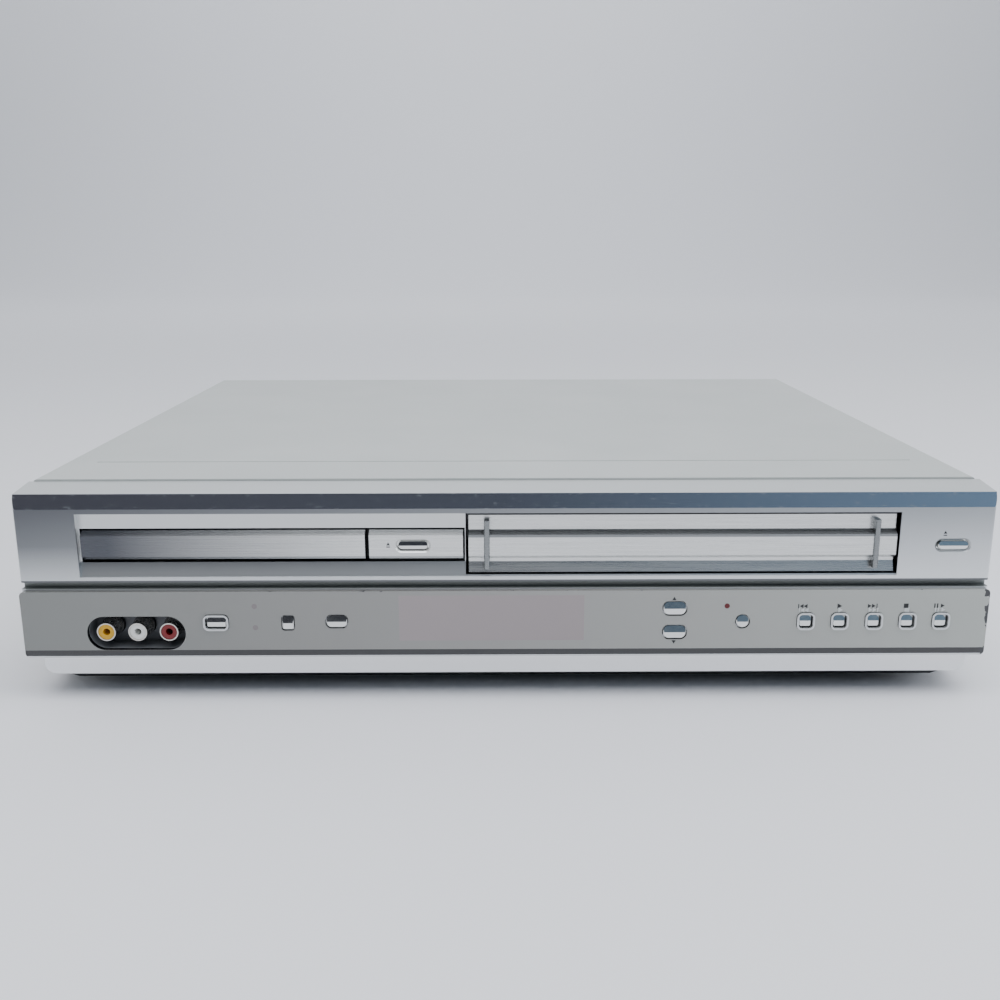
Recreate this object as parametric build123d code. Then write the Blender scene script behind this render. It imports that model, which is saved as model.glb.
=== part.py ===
from build123d import *
from math import acos, cos, pi, radians, sin, sqrt, tan
import os

# A mains-powered disc and cassette player in one flat cabinet, in millimetres.
# Depths (y) run back from the upper bezel's face, heights (z) up from the table, and x runs to
# the right from the middle. write() then moves every piece so that the origin is at the middle
# of the footprint.

# ---------------------------------------------------------------- driving dimensions
cabinet_width = 430.0
cabinet_height = 97.5
cabinet_length = 361.8      # upper bezel's face to the cover's rear edge
front_reach = 3.3           # collars in front of the upper bezel's face
rear_reach = 9.5            # aerial sockets behind the cover
foot_height = 5.5

running_gap = 0.05          # radial, shaft in its bush
sliding_gap = 0.4           # between pieces that slide past each other
fit_gap = 0.3               # between fixed neighbours
hole_gap = 0.35             # round a button in its hole

# Moulded bezel
wall = 2.2
bezel_depth = 19.8          # side face, back to the cover's edge
bezel_tail = 7.2            # tongue that runs on under the cover
tail_wall = 1.9
corner_round = 1.5
band_bottom = 88.45         # the band along the top edge leans back
band_top = 94.9
band_lean = 2.1
lip_z = 55.05               # lower edge of the upper bezel
groove_depth = 4.0
groove_bottom = 52.0
plate_y = 0.1               # face of the plate behind the clear panel
base_width = 419.0
base_bottom = 10.5
base_set_back = 3.4
base_round = 5.0

# Clear panel over the controls
window_bottom = 19.7        # foot of the plate behind the panel
panel_bottom = 20.6
window_top = 51.5
window_thick = 2.4
window_round = 2.0

# Recess in the upper bezel, and the bar that crosses the tray, its button and the flap
recess_left = -188.3
recess_right = 173.5
recess_bottom = 57.4
recess_top = 86.3
recess_depth = 2.9
recess_low_depth = 1.0      # depth at the lower edge, where the floor leans
lean_top = 63.6
slot_left = -187.6
slot_right = -18.0
slot_top = 79.1
bar_top = 78.3
bar_shoulder = 76.4
bar_lower = 66.9
bar_bottom = 65.5
bar_chamfer = 1.4
bar_back = 6.6
tray_front_left = -186.6
tray_front_right = -61.8
button_bar_left = -60.2
button_bar_right = -18.7

# Cassette flap
flap_left = -17.5           # opening in the bezel
flap_right = 173.5
flap_opening_bottom = 58.2
flap_edge_gap = 1.1
flap_bottom = 58.9
flap_top = 85.4
flap_thick = 2.0
flap_pivot_y = 5.6
flap_pivot_z = 90.0
flap_pin_r = 1.2
flap_ear = 6.0
flap_ear_r = 2.0
rib_x = (-8.3, 163.4)
rib_width = 2.4
rib_z = (61.0, 83.0)
rib_proud = 1.2

# Buttons: x, z, width, height, corner radius, depth of the face
BUTTONS = {
    "power_button": (-128.9, 37.0, 8.8, 4.9, 0.9, -1.9),
    "source_button": (-96.9, 36.8, 4.9, 6.1, 0.9, -3.0),
    "copy_button": (-75.2, 37.4, 9.1, 5.4, 2.2, -3.0),
    "channel_up_button": (75.2, 43.0, 10.0, 5.8, 2.4, -3.0),
    "channel_down_button": (75.4, 31.9, 10.0, 5.8, 2.4, -3.0),
    "record_button": (105.6, 36.8, 5.6, 5.6, 2.7, -3.0),
    "previous_button": (133.8, 36.8, 5.5, 5.6, 1.2, -1.9),
    "play_button": (148.9, 36.8, 5.5, 5.6, 1.2, -1.9),
    "next_button": (164.2, 36.8, 5.5, 5.6, 1.2, -1.9),
    "stop_button": (179.2, 36.8, 5.5, 5.6, 1.2, -1.9),
    "pause_button": (194.1, 36.8, 5.5, 5.6, 1.2, -1.9),
    "open_close_button": (-40.8, 71.6, 13.2, 3.7, 1.8, 0.2),
    "eject_button": (197.3, 71.1, 13.4, 3.7, 1.8, -0.6),
}
UPPER_BUTTONS = ("open_close_button", "eject_button")
COLLARED = ("power_button", "previous_button", "play_button", "next_button", "stop_button",
            "pause_button")
button_travel = 0.8
cap_chamfer = 0.4
cap_lean = 0.17             # upper half of a cap, depth per millimetre of its whole height
flange_rim = 0.9
flange_thick = 1.2
flange_y = 2.6              # just behind the plate
stem_r = 1.2
upper_hole_gap = 0.7
rim_bevel = 0.6
collar_wall = 0.8
collar_gap = 0.4            # inside the collar, round its button
collar_round = 2.4

# Board behind the buttons
board_y = 12.0
board_thick = 1.6
board_left = -138.0
board_right = 206.5
board_bottom = 16.0
board_top = 53.5
tab_top = 80.0
tab_half = 12.0
switch_size = 6.0
switch_depth = 3.5
plunger_r = 1.7
plunger_depth = 0.8

# Display and indicator lights
display_x = (-47.5, 34.9)
display_z = (28.2, 49.4)
display_rim = 3.0
display_y = 3.0
light_x = -111.5
light_z = (34.6, 44.6)
light_r = 1.5

# Front sockets in their pocket
pocket_x = -164.6
pocket_z = 32.1
pocket_width = 43.8
pocket_height = 15.8
pocket_depth = 10.0
pocket_floor = 2.0
jack_pitch = 14.0
jack_y = -1.0               # front edge of each shell
jack_r = 4.15
jack_wall = 0.5
jack_root_step = 0.25       # a shell is this much thinner inside its block
pin_hole_r = 1.6
jack_base_r = 4.9
jack_base = 2.0
jack_block_depth = 12.0

# Steel cover
sheet = 0.9
cover_inset = 1.5
cover_bend = 2.2
crease_y = 57.7
crease_width = 1.2
crease_depth = 0.3
crease_margin = 17.0
vent_rows = 2
vent_columns = 18
vent_length = 16.0
vent_width = 2.6
vent_pitch = 6.5
vent_row_pitch = 22.0
vent_low_z = 38.0
rear_lip = 8.5

# Steel base
pan_sheet = 1.0
pan_flange_z = base_bottom
pan_top_inset = 9.0         # flange edge to the sunk floor
pan_slope = 8.0
pan_front = 8.0
pan_rear_gap = 6.0
pan_wall_top = 34.0
floor_slot = (26.0, 3.0)
floor_slot_pitch = 9.0
floor_slot_columns = 12

# Feet and screws
foot_r = 12.0
foot_top_r = 13.0
foot_x = 168.0
foot_front = 48.0
foot_rear = 48.0            # in from the cover's rear edge
screw_head_r = 3.0
screw_head = 1.4
screw_r = 1.4
screw_length = 7.0
side_screw_z = 22.0

# Rear panel and its sockets
rear_inset = 1.0            # cover's rear edge to the panel's outer face
rear_sheet = 1.0
rear_jack_x = (36.0, 51.0, 66.0, 81.0)
rear_jack_z = (34.0, 50.0, 66.0)
rear_jack_length = 8.5
rear_block_depth = 13.0
rear_block_rim = 10.0
aerial_x = 165.0
aerial_z = (34.0, 58.0)
aerial_r = 4.7
aerial_pin_r = 1.0
tuner_half = 15.0
tuner_depth = 60.0
inlet_x = -170.0
inlet_z = 33.0
inlet_width = 21.0
inlet_height = 14.0
inlet_flange = 3.0
inlet_flange_thick = 1.2
inlet_depth = 19.0
inlet_well = 12.0
inlet_lobe_r = 4.2
inlet_pin_pitch = 8.6
inlet_pin_r = 1.2

# Boards on the floor
floor_board_z = 14.0
standoff_r = 3.0

# Disc loader
loader_x = (tray_front_left + tray_front_right) / 2
tray_half = 61.7
tray_back = 172.0
tray_top = 77.2
tray_floor_z = 70.2
tray_floor = 2.0
tray_rail_z = 67.5
tray_rail = 1.5
disc_y = 74.0
disc_well_r = 60.8
small_well_r = 40.6
small_well_depth = 0.8
tray_slot_half = 21.0
loader_wall = 2.0
loader_front = 8.0
loader_back = 196.0
loader_floor_z = 60.0
loader_floor = 2.0
loader_top = 81.0
loader_ear = 6.0
leg_r = 3.5
guide_rib = 1.1

gear_module = 0.8
gear_teeth = 30
pinion_teeth = 17
gear_play = 0.12            # slack along the pitch line
gear_offset = -39.8         # tray gear's axis, from the loader's middle
gear_y = 30.0
gear_z = 65.8
gear_thick = 4.0
gear_post_r = 2.0
gear_hub_r = 4.0
motor_r = 12.0
motor_height = 15.0
motor_shaft_r = 1.0

deck_half = 42.0
deck_front = disc_y - 24.0
deck_back = disc_y + 98.0
deck_z = 64.0
deck_sheet = 1.4
deck_pivot_y = disc_y + 94.0
deck_pin_r = 1.5
spindle_r = 1.2
spindle_motor_r = 13.0
spindle_motor_top = 70.8
turntable_r = 15.0
turntable_z = 71.9
disc_seat_z = 73.9
hub_r = 7.4
hub_top = 76.0
sled_half = 25.0
sled_front = disc_y + 13.0
sled_length = 24.0
sled_bottom = 58.0
rail_r = 1.5
rail_offset = 20.0
rail_z = 61.2
rail_front = disc_y + 4.0
rail_back = disc_y + 88.0
clamp_sheet = 1.2
clamp_half_depth = 22.0
clamper_r = 11.0
clamper_flange_r = 14.5
clamper_bottom = 75.4

# Cassette deck
cassette_x = (flap_left + flap_right) / 2
cassette_half = 95.0
deck_plate_z = 24.0
deck_plate = 1.6
deck_plate_front = 40.0
deck_plate_back = 262.0
deck_side_half = 102.0
side_sheet = 1.6
side_top = 92.0
side_back = 200.0
runner_thick = 2.0
runner_gap = 1.0
runner_front = 44.0
runner_length = 84.0
runner_z = (52.0, 88.0)
stud_r = 1.5
stud_gap = 0.2
stud_inset = 12.0
runner_stud_z = 85.0
carriage_travel = 50.0
drop_travel = 21.0
holder_front = 38.0
holder_back = 136.0
holder_sheet = 1.2
holder_floor_z = 57.2
holder_top_z = 84.4
holder_ledge = 20.0
holder_stud_z = 80.0

drum_y = 222.0
drum_r = 31.0
drum_split = 45.0
drum_gap = 0.4
drum_top = 61.0
drum_shaft_r = 3.0
reel_spread = 46.0
reel_y = 129.0
reel_table_r = 20.0
reel_hub_r = 10.0
reel_spindle_r = 4.6
reel_post_r = 1.5
reel_top = 43.0
capstan_dx = 70.0
capstan_y = 205.0
capstan_r = 1.5
capstan_bush_r = 4.0
capstan_top = 62.0
flywheel_r = 21.0
flywheel_z = (14.5, 20.5)
arm_dx = 92.0
arm_y = 222.0
arm_pin_r = 2.0
arm_z = (38.0, 40.0)
roller_dx = 87.0
roller_y = 196.5
roller_r = 6.5
roller_pin_r = 1.5
roller_z = (41.0, 59.0)

# ---------------------------------------------------------------- worked-out places
half = cabinet_width / 2
cover_half = half - cover_inset
cover_under = cabinet_height - sheet
tail_half = cover_half - sheet - fit_gap
pan_half = cover_half - sheet - 1.0
rear_y = cabinet_length - rear_inset
window_front = plate_y - 0.2 - window_thick
middle_y = (cabinet_length + rear_reach - front_reach) / 2
rear_board_edge = rear_y - rear_sheet - 1.3
gear_x = loader_x + gear_offset
pinion_x = gear_x + gear_module * (gear_teeth + pinion_teeth) / 2
jack_places = [pocket_x + jack_pitch * step for step in (-1, 0, 1)]


# ---------------------------------------------------------------- shared shapes
def box(x0, x1, y0, y1, z0, z1):
    """Block between two corners."""
    return Pos((x0 + x1) / 2, (y0 + y1) / 2, (z0 + z1) / 2) * Box(x1 - x0, y1 - y0, z1 - z0)


def strip(outline, x0, x1):
    """Outline of (y, z) points run along x."""
    return extrude(Plane.YZ.offset(x0) * Polygon(*outline, align=None), x1 - x0, dir=(1, 0, 0))


def slab(sketch, x, z, y0, y1):
    """Sketch stood up to face the front, from one depth back to another."""
    return extrude(Plane.XZ.offset(-y0) * Pos(x, z) * sketch, y1 - y0, dir=(0, 1, 0))


def rod_x(r, x0, x1, y, z):
    """Round bar along x."""
    return extrude(Plane.YZ.offset(x0) * Pos(y, z) * Circle(r), x1 - x0)


def rod_y(r, x, y0, y1, z):
    """Round bar along y."""
    return slab(Circle(r), x, z, y0, y1)


def rod_z(r, x, y, z0, z1):
    """Round bar along z."""
    return extrude(Plane.XY.offset(z0) * Pos(x, y) * Circle(r), z1 - z0)


def group(shapes):
    """Several separate solids as one piece."""
    return Compound([solid for shape in shapes for solid in shape.solids()])


def write(name, shape):
    """Save one piece, moved so that the footprint's middle is the origin."""
    export_step(Pos(0, -middle_y, 0) * shape, f"parts/{name}.step")


def rounded(width, height, corner):
    """Rectangle with round corners."""
    return RectangleRounded(width, height, min(corner, 0.49 * width, 0.49 * height))


def hole_size(name):
    """Width, height and corner of the hole that a button passes through."""
    x, z, width, height, corner, face_y = BUTTONS[name]
    gap = upper_hole_gap if name in UPPER_BUTTONS else hole_gap
    return width + 2 * gap, height + 2 * gap, corner + gap


def button_hole(name, y0, y1, extra=0.0):
    """Tool that cuts a button's hole, between two depths."""
    x, z = BUTTONS[name][:2]
    width, height, corner = hole_size(name)
    return slab(rounded(width + 2 * extra, height + 2 * extra, corner + extra), x, z, y0, y1)


def bevelled_rim(name):
    """Tool that bevels the mouth of one of the upper buttons' holes."""
    x, z = BUTTONS[name][:2]
    width, height, corner = hole_size(name)
    mouth = rounded(width + 2 * rim_bevel, height + 2 * rim_bevel, corner + rim_bevel)
    throat = rounded(width, height, corner)
    return loft([Plane.XZ * Pos(x, z) * mouth, Plane.XZ.offset(-rim_bevel) * Pos(x, z) * throat])


# ---------------------------------------------------------------- gears
def tooth_points(teeth, play):
    """Spur gear outline with 20 degree involute flanks."""
    r_pitch = gear_module * teeth / 2
    r_base = r_pitch * cos(radians(20))
    r_root = r_pitch - 1.25 * gear_module
    r_tip = r_pitch + gear_module
    flank_steps = 4
    radii = [r_root] + [
        max(r_base, r_root) + (r_tip - max(r_base, r_root)) * step / flank_steps
        for step in range(flank_steps + 1)]
    at_pitch = (pi * gear_module / 2 - play) / (2 * r_pitch) + tan(radians(20)) - radians(20)
    flank = []
    for radius in radii:
        pressure = acos(min(1.0, r_base / radius))
        flank.append((radius, at_pitch - (tan(pressure) - pressure)))
    points = []
    for tooth in range(teeth):
        middle = 2 * pi * tooth / teeth
        for radius, spread in flank:
            points.append((radius * cos(middle - spread), radius * sin(middle - spread)))
        for radius, spread in reversed(flank):
            points.append((radius * cos(middle + spread), radius * sin(middle + spread)))
    return points


def spur_gear(teeth, x, y, z0, z1):
    """Spur gear with one tooth pointing along +x."""
    outline = Polygon(*tooth_points(teeth, gear_play), align=None)
    return extrude(Plane.XY.offset(z0) * Pos(x, y) * outline, z1 - z0, dir=(0, 0, 1))


def rack(x_pitch, y0, y1, y_gap, z0, z1):
    """Straight rack with teeth towards +x and a tooth space at depth y_gap."""
    pitch = pi * gear_module
    tip_half = (pitch / 2 - gear_play) / 2 - gear_module * tan(radians(20))
    root_half = tip_half + 2.25 * gear_module * tan(radians(20))
    x_root = x_pitch - 1.25 * gear_module
    x_tip = x_pitch + gear_module
    first = int((y0 - y_gap) / pitch)
    last = int((y1 - y_gap) / pitch)
    points = [(x_root - 2.0, y0), (x_root, y0)]
    for step in range(first, last):
        middle = y_gap + (step + 0.5) * pitch
        points += [(x_root, middle - root_half), (x_tip, middle - tip_half),
                   (x_tip, middle + tip_half), (x_root, middle + root_half)]
    points += [(x_root, y1), (x_root - 2.0, y1)]
    return extrude(Plane.XY.offset(z0) * Polygon(*points, align=None), z1 - z0, dir=(0, 0, 1))


# ---------------------------------------------------------------- front of the cabinet
def bar_outline(back):
    """Section of the bar that crosses the recess: bevelled above, chamfered below."""
    return [(recess_depth, bar_top), (0, bar_shoulder), (0, bar_lower),
            (bar_chamfer, bar_bottom), (back, bar_bottom), (back, bar_top)]


def front_bezel():
    """Moulded front: upper face with the recess, plate behind the clear panel, base bar."""
    upper = strip([(plate_y, window_bottom), (plate_y, groove_bottom),
                   (groove_depth, groove_bottom), (groove_depth, lip_z), (0, lip_z),
                   (0, band_bottom), (band_lean, band_top), (bezel_depth, cover_under),
                   (bezel_depth, window_bottom)], -half, half)
    plan = Pos(0, bezel_depth) * Rectangle(cabinet_width, 2 * bezel_depth)
    plan = fillet(plan.vertices().group_by(Axis.Y)[0], corner_round)
    upper = upper & extrude(plan, cabinet_height)
    bar = Pos(0, (base_bottom + window_bottom + wall) / 2) * Rectangle(
        base_width, window_bottom + wall - base_bottom)
    bar = fillet(bar.vertices().group_by(Axis.Y)[0], base_round)
    base = slab(bar, 0, 0, base_set_back, bezel_depth)
    tail_end = bezel_depth + bezel_tail
    tail_bottom = base_bottom + pan_sheet + 0.1
    tail = slab(cover_section(tail_half, cover_under - fit_gap, cover_bend), 0, 0,
                bezel_depth - 1, tail_end)
    tail = tail - box(-half, half, 0, tail_end + 1, 0, tail_bottom)
    backing = strip([(0.5, lip_z + 0.2), (0.5, band_bottom), (recess_depth + wall, band_bottom),
                     (recess_depth + wall, lean_top - 1), (recess_low_depth + wall, lip_z + 0.2)],
                    recess_left - wall, flap_left)

    inner = half - wall
    hollow_top = cover_under - wall
    upper_hollow = strip([(plate_y + wall, window_bottom + wall),
                          (plate_y + wall, groove_bottom - wall),
                          (groove_depth + wall, groove_bottom - wall),
                          (groove_depth + wall, lip_z + wall), (wall, lip_z + wall),
                          (wall, band_bottom - 0.3), (wall + band_lean, band_top - wall),
                          (bezel_depth - 1, hollow_top), (bezel_depth - 1, window_bottom + wall)],
                         -inner, inner)
    tail_hollow = box(tail_wall - tail_half, tail_half - tail_wall, bezel_depth - 1.5,
                      tail_end + 1, tail_bottom + tail_wall, hollow_top - fit_gap)
    base_hollow = box(wall - base_width / 2, base_width / 2 - wall, base_set_back + wall,
                      bezel_depth + 1, base_bottom + wall, window_bottom + wall + 1)
    bezel = upper + base + tail - upper_hollow - tail_hollow - base_hollow + backing

    recess = strip([(-1, recess_bottom), (recess_low_depth, recess_bottom),
                    (recess_depth, lean_top), (recess_depth, recess_top), (-1, recess_top)],
                   recess_left, recess_right)
    slot = box(slot_left, slot_right, -1, recess_depth + 2 * wall, lean_top, slot_top)
    flap_opening = box(flap_left, flap_right, -1, recess_depth + 2 * wall,
                       flap_opening_bottom, recess_top)
    bezel = bezel - [recess, slot, flap_opening]

    pocket_block = box(pocket_x - pocket_width / 2 - 2, pocket_x + pocket_width / 2 + 2,
                       plate_y + 1, pocket_depth + pocket_floor,
                       pocket_z - pocket_height / 2 - 2, pocket_z + pocket_height / 2 + 2)
    bezel = bezel + pocket_block
    cuts = [slab(SlotOverall(pocket_width, pocket_height), pocket_x, pocket_z, -1, pocket_depth)]
    cuts += [rod_y(jack_base_r + 0.2, x, pocket_depth - 1, pocket_depth + pocket_floor + 1, pocket_z)
             for x in jack_places]
    cuts += [button_hole(name, -1, plate_y + wall + 0.2)
             for name in BUTTONS if name != "open_close_button"]
    cuts += [rod_y(light_r + 0.2, light_x, -1, plate_y + wall + 1, z) for z in light_z]
    cuts.append(box(display_x[0], display_x[1], -1, plate_y + wall + 1, display_z[0], display_z[1]))
    bezel = bezel - cuts - bevelled_rim("eject_button")

    ear_gap = 0.5
    for side, x_wall in ((-1, flap_left + flap_edge_gap), (1, flap_right - flap_edge_gap)):
        near = x_wall + side * ear_gap
        far = near + side * 3.0
        boss = box(min(near, far), max(near, far), wall - 0.4, flap_pivot_y + 3.0,
                   flap_pivot_z - 3.0, flap_pivot_z + 3.0)
        bore = rod_x(flap_pin_r + running_gap, x_wall - 6, x_wall + 6, flap_pivot_y, flap_pivot_z)
        bezel = bezel + boss - bore
    for x, z in ((-118.0, 25.0), (115.0, 25.0), (-62.0, 47.0), (60.0, 47.0)):
        bezel = bezel + rod_y(2.5, x, plate_y + 1, board_y, z)
    return bezel


def panel_window():
    """Clear acrylic panel over the controls, with holes for the buttons and the pocket."""
    height = window_top - panel_bottom
    middle = (window_top + panel_bottom) / 2
    back = window_front + window_thick
    panel = slab(rounded(cabinet_width, height, window_round), 0, middle, window_front, back)
    cuts = [slab(SlotOverall(pocket_width, pocket_height), pocket_x, pocket_z,
                 window_front - 1, back + 1)]
    for name in BUTTONS:
        if name in UPPER_BUTTONS:
            continue
        extra = collar_gap - hole_gap + collar_wall + 0.15 if name in COLLARED else 0.2
        cuts.append(button_hole(name, window_front - 1, back + 1, extra))
    return panel - cuts


def button_collars():
    """Raised rims round the power and transport buttons."""
    rims = []
    for name in COLLARED:
        x, z, width, height, corner, face_y = BUTTONS[name]
        inner = collar_gap
        outer = collar_gap + collar_wall
        rim = slab(rounded(width + 2 * outer, height + 2 * outer, collar_round), x, z,
                   -front_reach, plate_y)
        bore = slab(rounded(width + 2 * inner, height + 2 * inner, collar_round - collar_wall),
                    x, z, -front_reach - 1, plate_y + 1)
        rims.append(rim - bore)
    return group(rims)


def button(name):
    """Cap with bevelled edges, a flange that stops it behind the plate, and a stem."""
    x, z, width, height, corner, face_y = BUTTONS[name]
    cap = slab(rounded(width, height, corner), x, z, face_y, flange_y + 0.1)
    cap = chamfer(cap.faces().sort_by(Axis.Y)[0].edges(), cap_chamfer)
    top = z + height / 2 + 1
    cap = cap - strip([(face_y - 1, z), (face_y, z), (face_y + cap_lean * 2 * (top - z), top),
                       (face_y - 1, top)], x - width, x + width)
    flange = slab(rounded(width + 2 * flange_rim, height + 2 * flange_rim, corner), x, z,
                  flange_y, flange_y + flange_thick)
    stem_end = board_y - switch_depth - plunger_depth - button_travel - 0.2
    return cap + flange + rod_y(stem_r, x, flange_y, stem_end, z)


def open_close_bar():
    """Fixed stretch of the bar beside the tray, hollow behind, with a hole for its button."""
    bar = strip(bar_outline(bar_back), button_bar_left, button_bar_right)
    hollow = box(button_bar_left + wall, button_bar_right - wall, wall, bar_back + 1,
                 bar_bottom + wall - 0.4, bar_top - wall + 0.4)
    back = recess_depth + wall
    tabs = box(button_bar_left, button_bar_right, back, bar_back, lean_top - 2, slot_top + 2)
    tabs = tabs - box(button_bar_left + wall, button_bar_right - wall, back - 1, bar_back + 1,
                      bar_bottom + wall - 0.4, bar_top - wall + 0.4)
    name = "open_close_button"
    return bar + tabs - hollow - button_hole(name, -1, wall + 0.5) - bevelled_rim(name)


def tray_front():
    """Bar fascia clipped to the tray, with its lower left corner cut back."""
    fascia = strip(bar_outline(bar_back), tray_front_left, tray_front_right)
    cut = Pos(tray_front_left, bar_bottom) * Rot(0, 0, 45) * Rectangle(1.6, 1.6)
    return fascia - slab(cut, 0, 0, -1, bar_back + 1)


def vhs_flap():
    """Cassette door: a thin shell with the bar across it, two rub ribs, ears and pins."""
    x0 = flap_left + flap_edge_gap
    x1 = flap_right - flap_edge_gap
    lean = (recess_depth - recess_low_depth) / (lean_top - recess_bottom)
    lower_face = recess_low_depth + lean * (flap_bottom - recess_bottom)
    back = recess_depth + flap_thick
    outline = [(recess_depth, flap_top), (recess_depth, bar_top), (0, bar_shoulder),
               (0, bar_lower), (bar_chamfer, bar_bottom), (recess_depth, bar_bottom),
               (recess_depth, lean_top), (lower_face, flap_bottom),
               (lower_face + flap_thick, flap_bottom), (back, lean_top), (back, flap_top)]
    shell = strip(outline, x0, x1)
    for x_end, inward in ((x0, 1), (x1, -1)):
        x_in = x_end + inward * flap_ear
        low, high = min(x_end, x_in), max(x_end, x_in)
        ear = box(low, high, flap_pivot_y - flap_ear_r, flap_pivot_y + 0.5, flap_top - 2,
                  flap_pivot_z)
        ear = ear + rod_x(flap_ear_r, low, high, flap_pivot_y, flap_pivot_z)
        pin = rod_x(flap_pin_r, min(x_end, x_end - inward * 3.2), max(x_end, x_end - inward * 3.2),
                    flap_pivot_y, flap_pivot_z)
        shell = shell + ear + pin
    for x in rib_x:
        rib = box(x - rib_width / 2, x + rib_width / 2, -rib_proud, recess_depth + 0.5,
                  rib_z[0], rib_z[1])
        rib = fillet(rib.edges().filter_by(Axis.Z).group_by(Axis.Y)[0], rib_width * 0.4)
        shell = shell + rib
    return shell


# ---------------------------------------------------------------- electronics at the front
def front_board():
    """Board with a tact switch behind every button; the two upper ones sit on tabs."""
    board = box(board_left, board_right, board_y, board_y + board_thick, board_bottom, board_top)
    for name in UPPER_BUTTONS:
        x = BUTTONS[name][0]
        tab = box(x - tab_half, min(x + tab_half, board_right), board_y, board_y + board_thick,
                  board_top - 1, tab_top)
        board = board + tab
    switches = []
    for name in BUTTONS:
        x, z = BUTTONS[name][:2]
        front = board_y - switch_depth
        body = box(x - switch_size / 2, x + switch_size / 2, front, board_y,
                   z - switch_size / 2, z + switch_size / 2)
        switches.append(body + rod_y(plunger_r, x, front - plunger_depth, front + 0.1, z))
    return group([board] + switches)


def display_module():
    """Glass display tube behind its opening."""
    tube = box(display_x[0] - display_rim, display_x[1] + display_rim, display_y, board_y,
               display_z[0] - 1.0, display_z[1] + 0.2)
    return chamfer(tube.faces().sort_by(Axis.Y)[0].edges(), 0.4)


def indicator_lights():
    """Two round light-emitting diodes with domed ends."""
    lights = []
    for z in light_z:
        body = rod_y(light_r, light_x, plate_y + 0.5, board_y, z)
        body = fillet(body.faces().sort_by(Axis.Y)[0].edges(), light_r * 0.6)
        lights.append(body + rod_y(light_r + 0.4, light_x, 6.0, 7.0, z))
    return group(lights)


def front_jack_block():
    """Plastic body of the three front sockets, with a collar round each shell."""
    back = pocket_depth + pocket_floor
    block = box(pocket_x - pocket_width / 2, pocket_x + pocket_width / 2, back,
                back + jack_block_depth, pocket_z - pocket_height / 2 - 1,
                pocket_z + pocket_height / 2 + 1)
    for x in jack_places:
        block = block + rod_y(jack_base_r, x, pocket_depth - jack_base, back + 0.1, pocket_z)
        block = block - rod_y(jack_r - jack_root_step + running_gap, x,
                              pocket_depth - jack_base - 1, back, pocket_z)
    return block


def front_jack_shells():
    """Plated tubes of the three front sockets, each stepped where it enters the block."""
    seat = pocket_depth - jack_base
    back = pocket_depth + pocket_floor
    tubes = []
    for x in jack_places:
        tube = rod_y(jack_r, x, jack_y, seat, pocket_z)
        tube = tube + rod_y(jack_r - jack_root_step, x, seat - 0.1, back, pocket_z)
        tubes.append(tube - rod_y(jack_r - jack_wall, x, jack_y - 1, back + 1, pocket_z))
    return group(tubes)


def jack_insert(x):
    """Coloured plastic ring inside one socket, with the hole for the plug's pin."""
    back = pocket_depth + pocket_floor
    insert = rod_y(jack_r - jack_wall - running_gap, x, jack_y + 0.4, back, pocket_z)
    return insert - rod_y(pin_hole_r, x, jack_y - 1, back - 2, pocket_z)


# ---------------------------------------------------------------- cabinet
def cover_section(half_width, top, bend):
    """Face of the cover's outer or inner outline."""
    height = top - base_bottom
    outline = Pos(0, base_bottom + height / 2) * Rectangle(2 * half_width, height)
    return fillet(outline.vertices().group_by(Axis.Y)[-1], bend)


def top_cover():
    """Bent steel cover: top, two vented sides and a lip down over the rear panel."""
    start = bezel_depth + fit_gap
    outer = slab(cover_section(cover_half, cabinet_height, cover_bend), 0, 0, start, cabinet_length)
    inner_section = cover_section(cover_half - sheet, cover_under, cover_bend - sheet)
    cover = outer - slab(inner_section, 0, 0, start - 1, cabinet_length + 1)
    cover = cover - box(-half, half, start - 1, cabinet_length + 1, base_bottom - 1, base_bottom)
    cover = cover + box(-cover_half + 2, cover_half - 2, cabinet_length - sheet, cabinet_length,
                        cover_under - rear_lip, cover_under + 0.1)
    crease = box(crease_margin - half, half - crease_margin, crease_y - crease_width / 2,
                 crease_y + crease_width / 2, cabinet_height - crease_depth, cabinet_height + 1)
    cuts = [crease]
    last = cabinet_length - 30.0
    for row in range(vent_rows):
        for column in range(vent_columns):
            y = last - column * vent_pitch
            z = vent_low_z + row * vent_row_pitch
            slot = Plane.YZ.offset(-half) * Pos(y, z) * SlotOverall(vent_length, vent_width, rotation=90)
            cuts.append(extrude(slot, 2 * half, dir=(1, 0, 0)))
    for x, y, z in side_screw_places():
        cuts.append(rod_x(screw_r + 0.3, x - 4, x + 4, y, z))
    for x, y, z in rear_screw_places():
        cuts.append(rod_y(screw_r + 0.3, x, y - 4, y + 2, z))
    return cover - cuts


def side_screw_places():
    """Outer face of the cover under each side screw's head."""
    return [(side * cover_half, y, side_screw_z)
            for side in (-1, 1) for y in (62.0, cabinet_length - 42.0)]


def rear_screw_places():
    """Outer face of the rear lip under each rear screw's head."""
    return [(x, cabinet_length, cover_under - rear_lip / 2 - 0.6)
            for x in (-0.4 * cabinet_width, 0.0, 0.4 * cabinet_width)]


def pan_floor(z0, z1, shrink):
    """Tapered block of the sunk floor, between two heights, drawn in by shrink."""
    faces = []
    for z in (z0, z1):
        rise = (z - foot_height) / (pan_flange_z - foot_height)
        inset = pan_top_inset + pan_slope * (1 - rise) + shrink
        x_half = half - inset
        front = pan_front + (inset - pan_top_inset) * 0.5
        back = cabinet_length - pan_rear_gap - (inset - pan_top_inset) * 0.5
        faces.append(Pos(0, (front + back) / 2, z) * Rectangle(2 * x_half, back - front))
    return loft(faces)


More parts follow.
